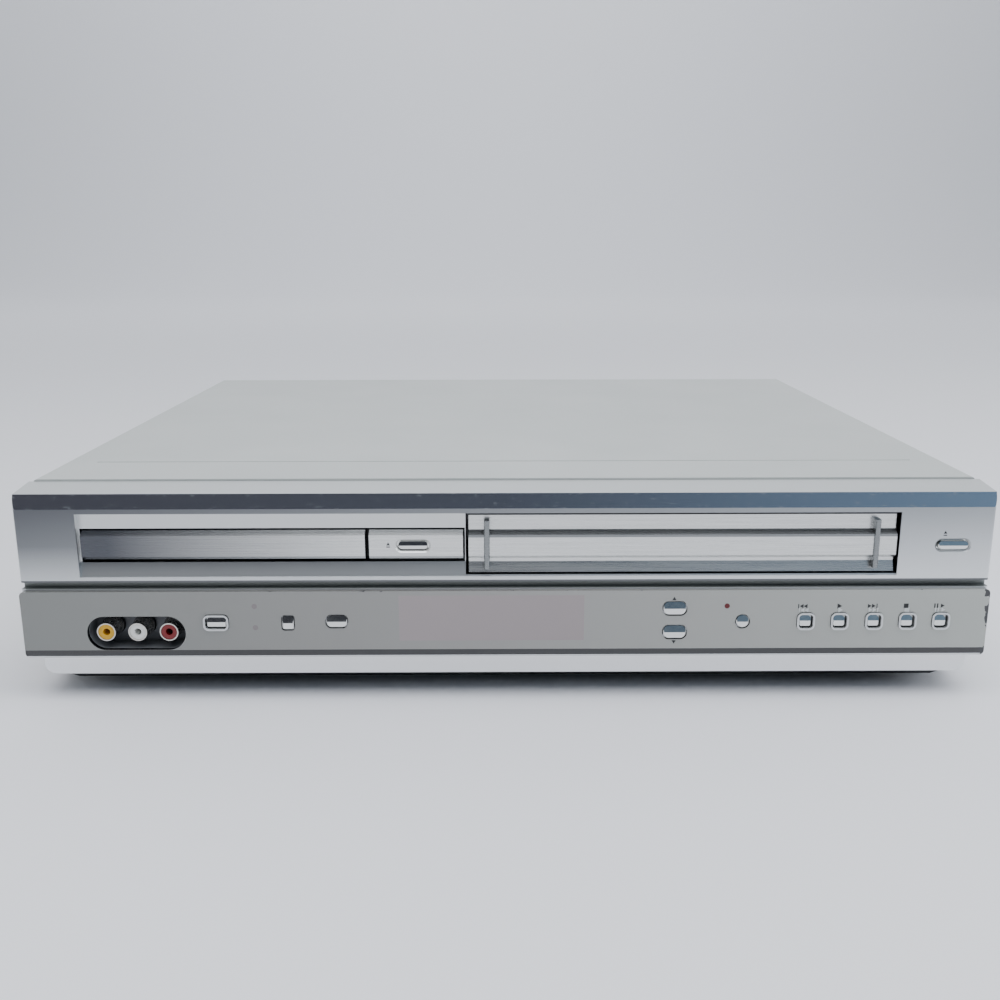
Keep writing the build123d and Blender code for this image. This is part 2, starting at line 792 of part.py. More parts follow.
def base_chassis():
    """Pressed steel base: sunk floor, flange, side walls, floor vents and standoffs."""
    over = 0.5
    tub = pan_floor(foot_height, pan_flange_z, 0.0)
    rim = box(-pan_half, pan_half, bezel_depth + fit_gap, rear_y - rear_sheet,
              pan_flange_z, pan_flange_z + pan_sheet)
    base = tub + rim - pan_floor(foot_height + pan_sheet, pan_flange_z + pan_sheet + over, pan_sheet)
    front = bezel_depth + bezel_tail + 1.0
    for side in (-1, 1):
        outer = side * pan_half
        inner = side * (pan_half - pan_sheet)
        base = base + box(min(outer, inner), max(outer, inner), front, rear_y - rear_sheet,
                          pan_flange_z, pan_wall_top)
    base = base + box(-pan_half, pan_half, rear_y - rear_sheet - pan_sheet, rear_y - rear_sheet,
                      pan_flange_z, pan_flange_z + 4.5)
    floor_z = foot_height + pan_sheet
    for x, y in standoff_places():
        base = base + rod_z(standoff_r, x, y, floor_z - 0.2, floor_board_z)
    cuts = []
    for row in (-1, 1):
        for column in range(floor_slot_columns):
            x = cassette_x + (column - (floor_slot_columns - 1) / 2) * floor_slot_pitch
            y = 150.0 + row * 22.0
            slot = Plane.XY.offset(foot_height - 1) * Pos(x, y) * SlotOverall(*floor_slot, rotation=90)
            cuts.append(extrude(slot, pan_sheet + 2, dir=(0, 0, 1)))
    for x, y, z in side_screw_places():
        inward = x - (x / abs(x)) * 8.0
        cuts.append(rod_x(screw_r + running_gap, min(x, inward), max(x, inward), y, z))
    return base - cuts


def standoff_places():
    """Places of the posts under the floor boards."""
    rear = rear_board_edge - 8.0
    return [(-178.0, 60.0), (-70.0, 60.0), (-178.0, 190.0), (-70.0, 190.0),
            (-80.0, rear), (200.0, rear), (-197.0, rear - 120.0), (-112.0, rear - 120.0),
            (-186.0, rear - 4), (-112.0, rear - 4)]


def rear_panel():
    """Steel rear panel, cut for the sockets, the mains inlet and air."""
    inner = rear_y - rear_sheet
    panel = slab(cover_section(tail_half, cover_under - 0.2, cover_bend), 0, 0, inner, rear_y)
    panel = panel - box(-half, half, inner - 1, rear_y + 1, 0, pan_flange_z + pan_sheet + 0.2)
    cuts = [rod_y(jack_base_r + 0.3, x, inner - 1, rear_y + 1, z)
            for x in rear_jack_x for z in rear_jack_z]
    cuts += [rod_y(aerial_r + 0.3, aerial_x, inner - 1, rear_y + 1, z) for z in aerial_z]
    cuts.append(box(inlet_x - inlet_width / 2 - 0.3, inlet_x + inlet_width / 2 + 0.3, inner - 1,
                    rear_y + 1, inlet_z - inlet_height / 2 - 0.3, inlet_z + inlet_height / 2 + 0.3))
    for column in range(14):
        x = inlet_x + 24.0 + column * 6.5
        cuts.append(slab(SlotOverall(26.0, 3.0, rotation=90), x, 62.0, inner - 1, rear_y + 1))
    for x, y, z in rear_screw_places():
        cuts.append(rod_y(screw_r + running_gap, x, inner - 1, rear_y + 1, z))
    return panel - cuts


def rubber_feet():
    """Four round rubber feet, slightly wider at the top."""
    feet = []
    for x in (-foot_x, foot_x):
        for y in (foot_front, cabinet_length - foot_rear):
            low = Pos(x, y, 0) * Circle(foot_r)
            high = Pos(x, y, foot_height) * Circle(foot_top_r)
            feet.append(loft([low, high]))
    return group(feet)


def screw():
    """Pan-head screw along +z, head up, with a cross recess; the head's underside is at zero."""
    head = rod_z(screw_head_r, 0, 0, 0, screw_head)
    head = fillet(head.faces().sort_by(Axis.Z)[-1].edges(), screw_head * 0.5)
    cross = box(-1.7, 1.7, -0.35, 0.35, screw_head - 0.8, screw_head + 1)
    cross = cross + box(-0.35, 0.35, -1.7, 1.7, screw_head - 0.8, screw_head + 1)
    return head - cross + rod_z(screw_r, 0, 0, -screw_length, 0.1)


def cover_screws():
    """Screws that hold the cover, two on each side and three behind."""
    screws = []
    for x, y, z in side_screw_places():
        turn = 90 if x > 0 else -90
        screws.append(Pos(x, y, z) * Rot(0, turn, 0) * screw())
    for x, y, z in rear_screw_places():
        screws.append(Pos(x, y, z) * Rot(-90, 0, 0) * screw())
    return group(screws)


# ---------------------------------------------------------------- rear sockets and boards
def ac_inlet():
    """Two-pin mains inlet with a figure-of-eight well; its flange lies on the rear panel."""
    inner = rear_y - inlet_depth
    body = box(inlet_x - inlet_width / 2, inlet_x + inlet_width / 2, inner, rear_y + 0.1,
               inlet_z - inlet_height / 2, inlet_z + inlet_height / 2)
    flange = slab(rounded(inlet_width + 2 * inlet_flange, inlet_height + 2 * inlet_flange, 2.0),
                  inlet_x, inlet_z, rear_y, rear_y + inlet_flange_thick)
    well_sketch = SlotOverall(inlet_pin_pitch + 2 * inlet_lobe_r, 2 * inlet_lobe_r)
    mouth = rear_y + inlet_flange_thick
    well = slab(well_sketch, inlet_x, inlet_z, mouth - inlet_well, mouth + 1)
    inlet = body + flange - well
    for side in (-1, 1):
        x = inlet_x + side * inlet_pin_pitch / 2
        inlet = inlet + rod_y(inlet_pin_r, x, mouth - inlet_well - 1, mouth - 2.0, inlet_z)
    return inlet


def rear_jack_block():
    """Plated block with three rows of phono sockets through the rear panel."""
    inner = rear_y - rear_sheet
    block = box(rear_jack_x[0] - rear_block_rim, rear_jack_x[-1] + rear_block_rim,
                inner - rear_block_depth, inner, floor_board_z + board_thick,
                rear_jack_z[-1] + rear_block_rim)
    for x in rear_jack_x:
        for z in rear_jack_z:
            block = block + rod_y(jack_base_r, x, inner - 0.1, rear_y + 0.8, z)
            block = block + rod_y(jack_r, x, inner, rear_y + rear_jack_length, z)
            block = block - rod_y(jack_r - jack_wall, x, rear_y, rear_y + rear_jack_length + 1, z)
            block = block + rod_y(jack_r - jack_wall - 0.9, x, rear_y - 0.1,
                                  rear_y + rear_jack_length - 0.4, z)
            block = block - rod_y(pin_hole_r, x, rear_y + 1.0, rear_y + rear_jack_length + 1, z)
    return block


def tuner_box():
    """Screened tuner can that stands on the main board."""
    inner = rear_y - rear_sheet
    can = box(aerial_x - tuner_half, aerial_x + tuner_half, inner - tuner_depth, inner,
              floor_board_z + board_thick, aerial_z[-1] + tuner_half)
    return can - box(aerial_x - tuner_half + 1, aerial_x + tuner_half - 1, inner - tuner_depth + 1,
                     inner - 1, floor_board_z + board_thick + 1, aerial_z[-1] + tuner_half - 1)


def rf_connectors():
    """Two aerial sockets, in and out."""
    inner = rear_y - rear_sheet
    end = cabinet_length + rear_reach
    sockets = []
    for z in aerial_z:
        barrel = rod_y(aerial_r, aerial_x, inner, end, z)
        nut = slab(RegularPolygon(6.6, 6), aerial_x, z, rear_y, rear_y + 2.0)
        sockets.append(barrel + nut - rod_y(aerial_pin_r, aerial_x, rear_y + 2, end + 1, z))
    return group(sockets)


def main_board():
    """L-shaped main board with its larger chips."""
    top = floor_board_z + board_thick
    board = box(-186, -62, 50, 200, floor_board_z, top)
    board = board + box(-95, -62, 199, rear_board_edge, floor_board_z, top)
    board = board + box(-95, 206, rear_board_edge - 52, rear_board_edge, floor_board_z, top)
    chips = [(-150, 90, 28, 28, 2.4), (-105, 95, 22, 12, 2.0), (-105, 125, 22, 12, 2.0),
             (-150, 150, 16, 10, 2.0), (-78, 260, 14, 20, 3.0), (-30, rear_board_edge - 30, 26, 26, 2.4)]
    bodies = [board]
    for x, y, width, length, height in chips:
        bodies.append(box(x - width / 2, x + width / 2, y - length / 2, y + length / 2,
                          top, top + height))
    return group(bodies)


def power_board():
    """Power supply board with its transformer, capacitors and heat sink."""
    top = floor_board_z + board_thick
    back = rear_board_edge - 2.0
    board = box(-205, -104, back - 136, back, floor_board_z, top)
    transformer = box(-152, -118, back - 100, back - 64, top, top + 30)
    winding = box(-148, -122, back - 104, back - 60, top + 4, top + 24)
    sink = box(-114, -111, back - 110, back - 50, top, top + 42)
    for step in range(5):
        y = back - 106 + step * 13.0
        sink = sink + box(-118, -107.5, y, y + 1.6, top + 12, top + 42)
    capacitors = [rod_z(9.0, -188, back - 96, top, top + 34)]
    capacitors += [rod_z(5.0, x, back - 40, top, top + 20) for x in (-150, -137, -124)]
    return group([board, transformer + winding, sink] + capacitors)


# ---------------------------------------------------------------- disc loader
def disc_tray():
    """Tray with wells for both disc sizes, a slot for the pickup, side rails and a rack."""
    x0 = loader_x - tray_half
    x1 = loader_x + tray_half
    tray = box(x0, x1, bar_back, tray_back, tray_floor_z, tray_top)
    for inner, outer in ((x0, x0 + tray_rail), (x1 - tray_rail, x1)):
        tray = tray + box(inner, outer, bar_back, tray_back, tray_rail_z, tray_floor_z + 0.1)
    well_floor = tray_floor_z + tray_floor
    slot_front = disc_y - 1.0
    cuts = [rod_z(disc_well_r, loader_x, disc_y, well_floor, tray_top + 1),
            rod_z(small_well_r, loader_x, disc_y, well_floor - small_well_depth, tray_top + 1),
            rod_z(tray_slot_half - 2, loader_x, disc_y, tray_floor_z - 1, tray_top + 1),
            box(loader_x - tray_slot_half, loader_x + tray_slot_half, slot_front, tray_back + 1,
                tray_floor_z - 1, tray_top + 1)]
    rear = disc_y + disc_well_r
    for side in (-1, 1):
        near = loader_x + side * (tray_slot_half + 5)
        far = loader_x + side * (tray_half - 4)
        cuts.append(box(min(near, far), max(near, far), rear - 8, tray_back - 4, well_floor,
                        tray_top + 1))
    tray = tray - cuts
    pitch_x = gear_x - gear_module * gear_teeth / 2
    teeth = rack(pitch_x, bar_back + 8, tray_back - 0.5, gear_y, gear_z + 0.2, tray_floor_z + 0.1)
    return tray + teeth


def tray_gear():
    """Gear that drives the tray's rack."""
    gear = spur_gear(gear_teeth, gear_x, gear_y, gear_z, gear_z + gear_thick)
    low = loader_floor_z + loader_floor + fit_gap
    gear = gear + rod_z(gear_hub_r, gear_x, gear_y, low, gear_z + 0.1)
    return gear - rod_z(gear_post_r + running_gap, gear_x, gear_y, low - 1, gear_z + gear_thick + 1)


def motor_pinion():
    """Pinion on the loading motor's shaft, in mesh with the tray gear."""
    pinion = spur_gear(pinion_teeth, pinion_x, gear_y, gear_z, gear_z + gear_thick)
    return pinion + rod_z(motor_shaft_r, pinion_x, gear_y, loader_floor_z - 8, gear_z + 0.1)


def loading_motor():
    """Can motor under the loader's floor."""
    can = rod_z(motor_r, pinion_x, gear_y, loader_floor_z - motor_height, loader_floor_z)
    can = can + rod_z(motor_shaft_r + 1.5, pinion_x, gear_y, loader_floor_z - 0.1,
                      loader_floor_z + loader_floor)
    return can - rod_z(motor_shaft_r + running_gap, pinion_x, gear_y, loader_floor_z - 9,
                       loader_floor_z + 5)


def dvd_loader_frame():
    """Moulded loader frame: floor with the traverse opening, side walls, guides, legs."""
    inner = tray_half + sliding_gap
    outer = inner + loader_wall
    floor_top = loader_floor_z + loader_floor
    frame = box(loader_x - outer, loader_x + outer, loader_front, loader_back, loader_floor_z,
                floor_top)
    frame = frame - box(loader_x - deck_half - 3.5, loader_x + deck_half + 3.5, deck_front - 2.5,
                        rail_back + 1.5, loader_floor_z - 1, floor_top + 1)
    for side in (-1, 1):
        a, b = loader_x + side * inner, loader_x + side * outer
        frame = frame + box(min(a, b), max(a, b), loader_front, loader_back, loader_floor_z,
                            loader_top)
        c = a - side * guide_rib
        frame = frame + box(min(a, c), max(a, c), loader_front, loader_back,
                            tray_rail_z - sliding_gap - 2.0, tray_rail_z - sliding_gap)
        frame = frame + box(min(a, c), max(a, c), loader_front, loader_back,
                            tray_top + sliding_gap, tray_top + sliding_gap + 1.5)
        e = loader_x + side * (outer + loader_ear)
        for y in (34.0, loader_back - 8):
            lug = box(min(b, e), max(b, e), y - 5, y + 5, loader_floor_z, floor_top)
            leg = rod_z(leg_r, e - side * (leg_r - 0.5), y, foot_height + pan_sheet, floor_top)
            frame = frame + lug + leg
        p = loader_x + side * (deck_half + fit_gap + 3.8)
        q = p + side * 3.6
        boss = box(min(p, q), max(p, q), deck_pivot_y - 4.5, deck_pivot_y + 4.5, loader_floor_z,
                   deck_z + deck_sheet / 2 + 2.6)
        frame = frame + boss
    bore = rod_x(deck_pin_r + running_gap, loader_x - inner + 8, loader_x + inner - 8,
                 deck_pivot_y, deck_z + deck_sheet / 2)
    frame = frame - bore
    frame = frame - rod_z(motor_shaft_r + 1.6, pinion_x, gear_y, loader_floor_z - 1, floor_top + 1)
    return frame + rod_z(gear_post_r, gear_x, gear_y, floor_top - 0.1, gear_z + gear_thick - 0.5)


def traverse_deck():
    """Sheet that carries the disc motor and the pickup, pivoted at its rear edge."""
    deck = box(loader_x - deck_half, loader_x + deck_half, deck_front, deck_back, deck_z,
               deck_z + deck_sheet)
    window = box(loader_x - 17, loader_x + 17, disc_y + spindle_motor_r + 1.5, rail_back - 3,
                 deck_z - 1, deck_z + deck_sheet + 1)
    deck = deck - window
    for side in (-1, 1):
        a = loader_x + side * (deck_half - 3)
        b = loader_x + side * (deck_half + fit_gap + 7.0)
        deck = deck + rod_x(deck_pin_r, min(a, b), max(a, b), deck_pivot_y, deck_z + deck_sheet / 2)
        rail_x = loader_x + side * rail_offset
        for y in (rail_front, rail_back - 2):
            tab = box(rail_x - 3, rail_x + 3, y, y + 2, rail_z - 2.6, deck_z + 0.1)
            deck = deck + tab - rod_y(rail_r + running_gap, rail_x, y - 1, y + 3, rail_z)
    return deck - rod_z(spindle_r + 0.5, loader_x, disc_y, deck_z - 1, deck_z + deck_sheet + 1)


def sled_rails():
    """Two ground rods that the pickup slides on."""
    return group(rod_y(rail_r, loader_x + side * rail_offset, rail_front, rail_back, rail_z)
                 for side in (-1, 1))


def pickup_sled():
    """Pickup body with its lens, bored for one rail and slotted for the other."""
    back = sled_front + sled_length
    sled = box(loader_x - sled_half, loader_x + sled_half, sled_front, back, sled_bottom,
               deck_z - fit_gap)
    lens_y = sled_front + sled_length / 2
    sled = sled + rod_z(6.5, loader_x, lens_y, deck_z - 0.5, deck_z + deck_sheet + 1.0)
    lens = rod_z(3.2, loader_x, lens_y, deck_z + deck_sheet + 0.9, deck_z + deck_sheet + 2.2)
    sled = sled + fillet(lens.faces().sort_by(Axis.Z)[-1].edges(), 0.9)
    left = loader_x - rail_offset
    right = loader_x + rail_offset
    bore = rod_y(rail_r + running_gap, left, sled_front - 1, back + 1, rail_z)
    slot = box(right - 2.0, right + sled_half, sled_front - 1, back + 1, rail_z - rail_r - 0.2,
               rail_z + rail_r + 0.2)
    return sled - bore - slot


def spindle_motor():
    """Flat motor under the turntable."""
    body = rod_z(spindle_motor_r, loader_x, disc_y, deck_z + deck_sheet, spindle_motor_top)
    return body - rod_z(spindle_r + running_gap, loader_x, disc_y, deck_z, spindle_motor_top + 1)


def disc_turntable():
    """Turntable with its rubber seat level, a centring hub and the shaft."""
    table = rod_z(turntable_r, loader_x, disc_y, turntable_z, disc_seat_z)
    hub = rod_z(hub_r, loader_x, disc_y, disc_seat_z - 0.1, hub_top)
    hub = chamfer(hub.faces().sort_by(Axis.Z)[-1].edges(), 1.2)
    return table + hub + rod_z(spindle_r, loader_x, disc_y, deck_z + deck_sheet + 0.5, turntable_z + 0.1)


def clamp_bridge():
    """Steel bridge over the tray, with a round hole for the clamper."""
    outer = tray_half + sliding_gap + loader_wall
    bridge = box(loader_x - outer, loader_x + outer, disc_y - clamp_half_depth,
                 disc_y + clamp_half_depth, loader_top, loader_top + clamp_sheet)
    return bridge - rod_z(clamper_r + sliding_gap, loader_x, disc_y, loader_top - 1,
                          loader_top + clamp_sheet + 1)


def disc_clamper():
    """Magnetic puck that hangs in the bridge and presses the disc on the turntable."""
    seat = loader_top + clamp_sheet + fit_gap
    puck = rod_z(clamper_r, loader_x, disc_y, clamper_bottom, seat + 0.1)
    puck = puck + rod_z(clamper_flange_r, loader_x, disc_y, seat, seat + 1.8)
    return puck - rod_z(hub_r + 0.8, loader_x, disc_y, clamper_bottom - 1, hub_top + 1.0)


# ---------------------------------------------------------------- cassette deck
def vhs_chassis():
    """Deck plate on legs, with slotted side plates, posts for the reels and a capstan bush."""
    x0 = cassette_x - deck_side_half
    x1 = cassette_x + deck_side_half
    top = deck_plate_z + deck_plate
    deck = box(x0, x1, deck_plate_front, deck_plate_back, deck_plate_z, top)
    for side in (-1, 1):
        a = cassette_x + side * deck_side_half
        b = a - side * side_sheet
        plate = box(min(a, b), max(a, b), deck_plate_front, side_back, deck_plate_z, side_top)
        slot_from = runner_front + stud_inset - stud_r - stud_gap
        slot_to = runner_front + runner_length - stud_inset + carriage_travel + stud_r + stud_gap
        slot = box(min(a, b) - 1, max(a, b) + 1, slot_from, slot_to,
                   runner_stud_z - stud_r - stud_gap, runner_stud_z + stud_r + stud_gap)
        deck = deck + plate - slot
        for y in (deck_plate_front + 10, deck_plate_back - 8):
            deck = deck + rod_z(4.0, a - side * 5.0, y, foot_height + pan_sheet, deck_plate_z + 0.1)
        deck = deck + rod_z(reel_post_r, cassette_x + side * reel_spread, reel_y, top - 0.1,
                            reel_top - 4)
        for dx, y in ((43.0, 196.0), (30.0, 188.0), (60.0, 214.0)):
            post_x = cassette_x + side * dx
            deck = deck + rod_z(1.6, post_x, y, top - 0.1, 56.0)
            deck = deck + rod_z(3.0, post_x, y, 34.0, 54.0)
    capstan_x = cassette_x + capstan_dx
    deck = deck + rod_z(capstan_bush_r, capstan_x, capstan_y, deck_plate_z, 36.0)
    deck = deck - rod_z(capstan_r + running_gap, capstan_x, capstan_y, deck_plate_z - 1, 37.0)
    return deck + rod_z(arm_pin_r, cassette_x + arm_dx, arm_y, top - 0.1, arm_z[1] + 2)


def carriage_runners():
    """Two runners that slide in the side plates and let the holder down between them."""
    runners = []
    for side in (-1, 1):
        outer = cassette_x + side * (deck_side_half - side_sheet - runner_gap)
        inner = outer - side * runner_thick
        runner = box(min(outer, inner), max(outer, inner), runner_front,
                     runner_front + runner_length, runner_z[0], runner_z[1])
        for y in (runner_front + stud_inset, runner_front + runner_length - stud_inset):
            reach = outer + side * (runner_gap + side_sheet - 0.2)
            runner = runner + rod_x(stud_r, min(outer, reach), max(outer, reach), y, runner_stud_z)
        for y in (holder_front + 20, holder_back - 20):
            slot = box(min(outer, inner) - 1, max(outer, inner) + 1, y - stud_r - stud_gap,
                       y + stud_r + stud_gap, holder_stud_z - drop_travel - stud_r - stud_gap,
                       holder_stud_z + stud_r + stud_gap)
            runner = runner - slot
        runners.append(runner)
    return group(runners)


def cassette_holder():
    """Sheet cage that takes the cassette: side walls, ledges below, a bridge above."""
    wall_x = cassette_half
    outer_x = cassette_half + holder_sheet
    top = holder_top_z + holder_sheet
    holder = box(cassette_x - outer_x, cassette_x + outer_x, holder_front, holder_back,
                 holder_floor_z, top)
    holder = holder - box(cassette_x - wall_x, cassette_x + wall_x, holder_front - 1,
                          holder_back + 1, holder_floor_z + holder_sheet, holder_top_z)
    holder = holder - box(cassette_x - wall_x + holder_ledge, cassette_x + wall_x - holder_ledge,
                          holder_front - 1, holder_back + 1, holder_floor_z - 1, holder_top_z)
    holder = holder - box(cassette_x - wall_x + 25, cassette_x + wall_x - 25, holder_front + 22,
                          holder_back - 22, holder_top_z - 1, top + 1)
    for side in (-1, 1):
        stop_a = cassette_x + side * wall_x
        stop_b = stop_a - side * 14.0
        holder = holder + box(min(stop_a, stop_b), max(stop_a, stop_b),
                              holder_back - holder_sheet, holder_back, holder_floor_z, top)
        start = cassette_x + side * outer_x
        reach = cassette_x + side * (deck_side_half - side_sheet - runner_gap - 0.3)
        for y in (holder_front + 20, holder_back - 20):
            holder = holder + rod_x(stud_r, min(start, reach), max(start, reach), y, holder_stud_z)
    return holder


def lower_drum():
    """Fixed half of the head drum, on a foot, with the shaft."""
    top = deck_plate_z + deck_plate
    drum = rod_z(drum_r, cassette_x, drum_y, top + 4, drum_split)
    drum = drum + box(cassette_x - 22, cassette_x + 22, drum_y - 26, drum_y + 26, top, top + 4.1)
    return drum + rod_z(drum_shaft_r, cassette_x, drum_y, drum_split - 0.1, drum_top + 2)


def head_drum():
    """Spinning half of the head drum."""
    drum = rod_z(drum_r, cassette_x, drum_y, drum_split + drum_gap, drum_top)
    drum = chamfer(drum.faces().sort_by(Axis.Z)[-1].edges(), 0.6)
    return drum - rod_z(drum_shaft_r + running_gap, cassette_x, drum_y, drum_split, drum_top + 1)


def reel_table(side):
    """Reel table with a ribbed spindle, on its post."""
    x = cassette_x + side * reel_spread
    low = deck_plate_z + deck_plate + fit_gap
    reel = rod_z(reel_table_r, x, reel_y, low, low + 3.0)
    reel = reel + rod_z(reel_hub_r, x, reel_y, low + 2.9, low + 6.0)
    reel = reel + rod_z(reel_spindle_r, x, reel_y, low + 5.9, reel_top)
    for step in range(6):
        fin = box(0, reel_spindle_r + 1.6, -0.7, 0.7, low + 5.9, reel_top - 3)
        reel = reel + Pos(x, reel_y, 0) * Rot(0, 0, 60 * step) * fin
    return reel - rod_z(reel_post_r + running_gap, x, reel_y, low - 1, reel_top - 3.5)


def capstan_flywheel():
    """Capstan shaft with its flywheel below the deck."""
    x = cassette_x + capstan_dx
    wheel = rod_z(flywheel_r, x, capstan_y, flywheel_z[0], flywheel_z[1])
    return wheel + rod_z(capstan_r, x, capstan_y, flywheel_z[1] - 0.1, capstan_top)


def pinch_arm():
    """Swinging arm with the pinch roller's pin."""
    pivot_x, pin_x = cassette_x + arm_dx, cassette_x + roller_dx
    reach = sqrt((pivot_x - pin_x) ** 2 + (arm_y - roller_y) ** 2)
    turn = 180 / pi * acos((pin_x - pivot_x) / reach)
    bar = Pos(reach / 2, 0) * SlotOverall(reach + 9.0, 9.0)
    arm = extrude(Plane.XY.offset(arm_z[0]) * Pos(pivot_x, arm_y) * Rot(0, 0, -turn) * bar,
                  arm_z[1] - arm_z[0])
    arm = arm + rod_z(4.5, pivot_x, arm_y, deck_plate_z + deck_plate + fit_gap, arm_z[0] + 0.1)
    arm = arm - rod_z(arm_pin_r + running_gap, pivot_x, arm_y, deck_plate_z, arm_z[1] + 1)
    return arm + rod_z(roller_pin_r, pin_x, roller_y, arm_z[1] - 0.1, roller_z[1] + 1)


def pinch_roller():
    """Rubber roller that presses the tape on the capstan."""
    x = cassette_x + roller_dx
    roller = rod_z(roller_r, x, roller_y, roller_z[0], roller_z[1])
    return roller - rod_z(roller_pin_r + running_gap, x, roller_y, roller_z[0] - 1, roller_z[1] + 1)


# ---------------------------------------------------------------- all pieces
PIECES = {
    "top_cover": top_cover,
    "front_bezel": front_bezel,
    "panel_window": panel_window,
    "button_collars": button_collars,
    "open_close_bar": open_close_bar,
    "tray_front": tray_front,
    "vhs_flap": vhs_flap,
    "front_board": front_board,
    "display_module": display_module,
    "indicator_lights": indicator_lights,
    "front_jack_block": front_jack_block,
    "front_jack_shells": front_jack_shells,
    "base_chassis": base_chassis,
    "rear_panel": rear_panel,
    "rubber_feet": rubber_feet,
    "cover_screws": cover_screws,
    "ac_inlet": ac_inlet,
    "rear_jack_block": rear_jack_block,
    "tuner_box": tuner_box,
    "rf_connectors": rf_connectors,
    "main_board": main_board,
    "power_board": power_board,
    "disc_tray": disc_tray,
    "tray_gear": tray_gear,
    "motor_pinion": motor_pinion,
    "loading_motor": loading_motor,
    "dvd_loader_frame": dvd_loader_frame,
    "traverse_deck": traverse_deck,
    "sled_rails": sled_rails,
    "pickup_sled": pickup_sled,
    "spindle_motor": spindle_motor,
    "disc_turntable": disc_turntable,
    "clamp_bridge": clamp_bridge,
    "disc_clamper": disc_clamper,
    "vhs_chassis": vhs_chassis,
    "carriage_runners": carriage_runners,
    "cassette_holder": cassette_holder,
    "lower_drum": lower_drum,
    "head_drum": head_drum,
    "capstan_flywheel": capstan_flywheel,
    "pinch_arm": pinch_arm,
    "pinch_roller": pinch_roller,
}

os.makedirs("parts", exist_ok=True)
for piece, make in PIECES.items():
    write(piece, make())
for piece in BUTTONS:
    write(piece, button(piece))
for piece, x_jack in zip(("video_jack", "audio_left_jack", "audio_right_jack"), jack_places):
    write(piece, jack_insert(x_jack))
for piece, reel_side in (("supply_reel", -1), ("take_up_reel", 1)):
    write(piece, reel_table(reel_side))
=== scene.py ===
from math import cos, pi, radians, sin

import bpy
from mathutils import Matrix, Vector


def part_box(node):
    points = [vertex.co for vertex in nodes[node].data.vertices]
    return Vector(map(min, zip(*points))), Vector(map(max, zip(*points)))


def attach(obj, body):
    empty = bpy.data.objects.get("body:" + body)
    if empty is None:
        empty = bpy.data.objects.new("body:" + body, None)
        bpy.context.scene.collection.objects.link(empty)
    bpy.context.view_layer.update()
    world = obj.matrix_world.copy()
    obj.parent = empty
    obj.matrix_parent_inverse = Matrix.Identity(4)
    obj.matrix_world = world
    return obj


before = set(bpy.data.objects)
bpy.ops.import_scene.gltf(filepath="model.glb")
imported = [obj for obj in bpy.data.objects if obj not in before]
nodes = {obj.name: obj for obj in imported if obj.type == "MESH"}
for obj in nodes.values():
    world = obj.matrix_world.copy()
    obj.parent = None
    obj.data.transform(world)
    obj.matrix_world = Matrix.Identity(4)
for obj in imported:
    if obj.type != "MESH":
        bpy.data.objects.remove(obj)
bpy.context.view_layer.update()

MM = 0.001
# Places in mm: x from the object's middle, y from the upper bezel's face, z from the floor
MIDDLE_Y = 184.0        # the row's origin
HALF_WIDTH = 215.0
PANEL_FACE = -2.5       # front of the clear panel
BAR_FACE = 0.0          # upper bezel, with the open/close and eject marks
REAR_FACE = 360.8       # rear panel's outer face
AXIS_START = {"X": 0.0, "Y": MIDDLE_Y, "Z": 0.0}

# Bezel regions that silver_lacquer paints: BASE and RECESS paler and LIP darker for how light falls,
# BAND with a painted reflection, and the socket pocket, GROOVE and the BEHIND regions with painted
# shade.
BASE = {"z": (0.0, 22.0)}
LIP = {"z": (54.9, 55.9)}
BAND = {"depth": (-20.0, 2.5), "z": (88.45, 94.9)}
TOP = {"z": (94.88, 120.0)}
RECESS = {"x": (-188.4, 173.6), "depth": (0.3, 3.04), "z": (64.0, 86.4)}
GROOVE = {"x": (-214.9, 214.9), "depth": (0.3, 60.0), "z": (51.9, 54.95)}
SOCKET_POCKET = {"x": (-187.0, -142.0), "depth": (0.3, 12.2), "z": (23.9, 40.2)}
BEHIND_BEZEL = {"x": (-212.5, 212.5), "depth": (3.05, 60.0), "z": (22.5, 94.0)}
BEHIND_PANEL = {"x": (-212.5, 212.5), "depth": (0.3, 60.0), "z": (22.5, 51.9)}
BEHIND_FLAP = {"x": (-17.7, 173.7), "depth": (0.4, 60.0), "z": (58.0, 86.5)}

DISPLAY = {"x": (-47.5, 34.9), "z": (28.2, 49.4)}
LAMPS_X = -111.5
LAMPS_Z = (34.6, 44.6)
LAMP_RADIUS = 1.2
# The panel's hole walls get painted shade, and its bottom edge (PANEL_FOOT_EDGE) a painted
# highlight.
PANEL_HOLES = {"x": (-213.5, 213.5), "depth": (-2.44, -0.15), "z": (21.2, 51.0)}
PANEL_FOOT = {"z": (0.0, 24.1)}
PANEL_FOOT_EDGE = {"z": (0.0, 21.4)}

# FLAP_EDGES get painted shade, black, where they face a gap; FLAP_BEVELS, the bevel and the two
# ribs, are painted a darker grey as shade.
FLAP_EDGES = ({"x": (-17.4, -16.3)}, {"x": (172.3, 173.4)}, {"z": (84.8, 95.0)},
              {"z": (57.0, 59.0)})
FLAP_BEVELS = ({"depth": (-0.1, 2.85), "z": (75.3, 78.4)},
               {"x": (-9.6, -7.0), "depth": (-1.3, 2.8), "z": (60.9, 83.1)},
               {"x": (162.1, 164.7), "depth": (-1.3, 2.8), "z": (60.9, 83.1)})


def at(x, y, z):
    """Point in metres from millimetres, with y counted from the upper bezel's face."""
    return Vector((x, y - MIDDLE_Y, z)) * MM


# ---------------------------------------------------------------- material helpers
def paint(code, alpha=1.0):
    """Linear colour from an sRGB hex code."""
    parts = [int(code[i:i + 2], 16) / 255 for i in (0, 2, 4)]
    return tuple(c / 12.92 if c <= 0.04045 else ((c + 0.055) / 1.055) ** 2.4
                 for c in parts) + (alpha,)


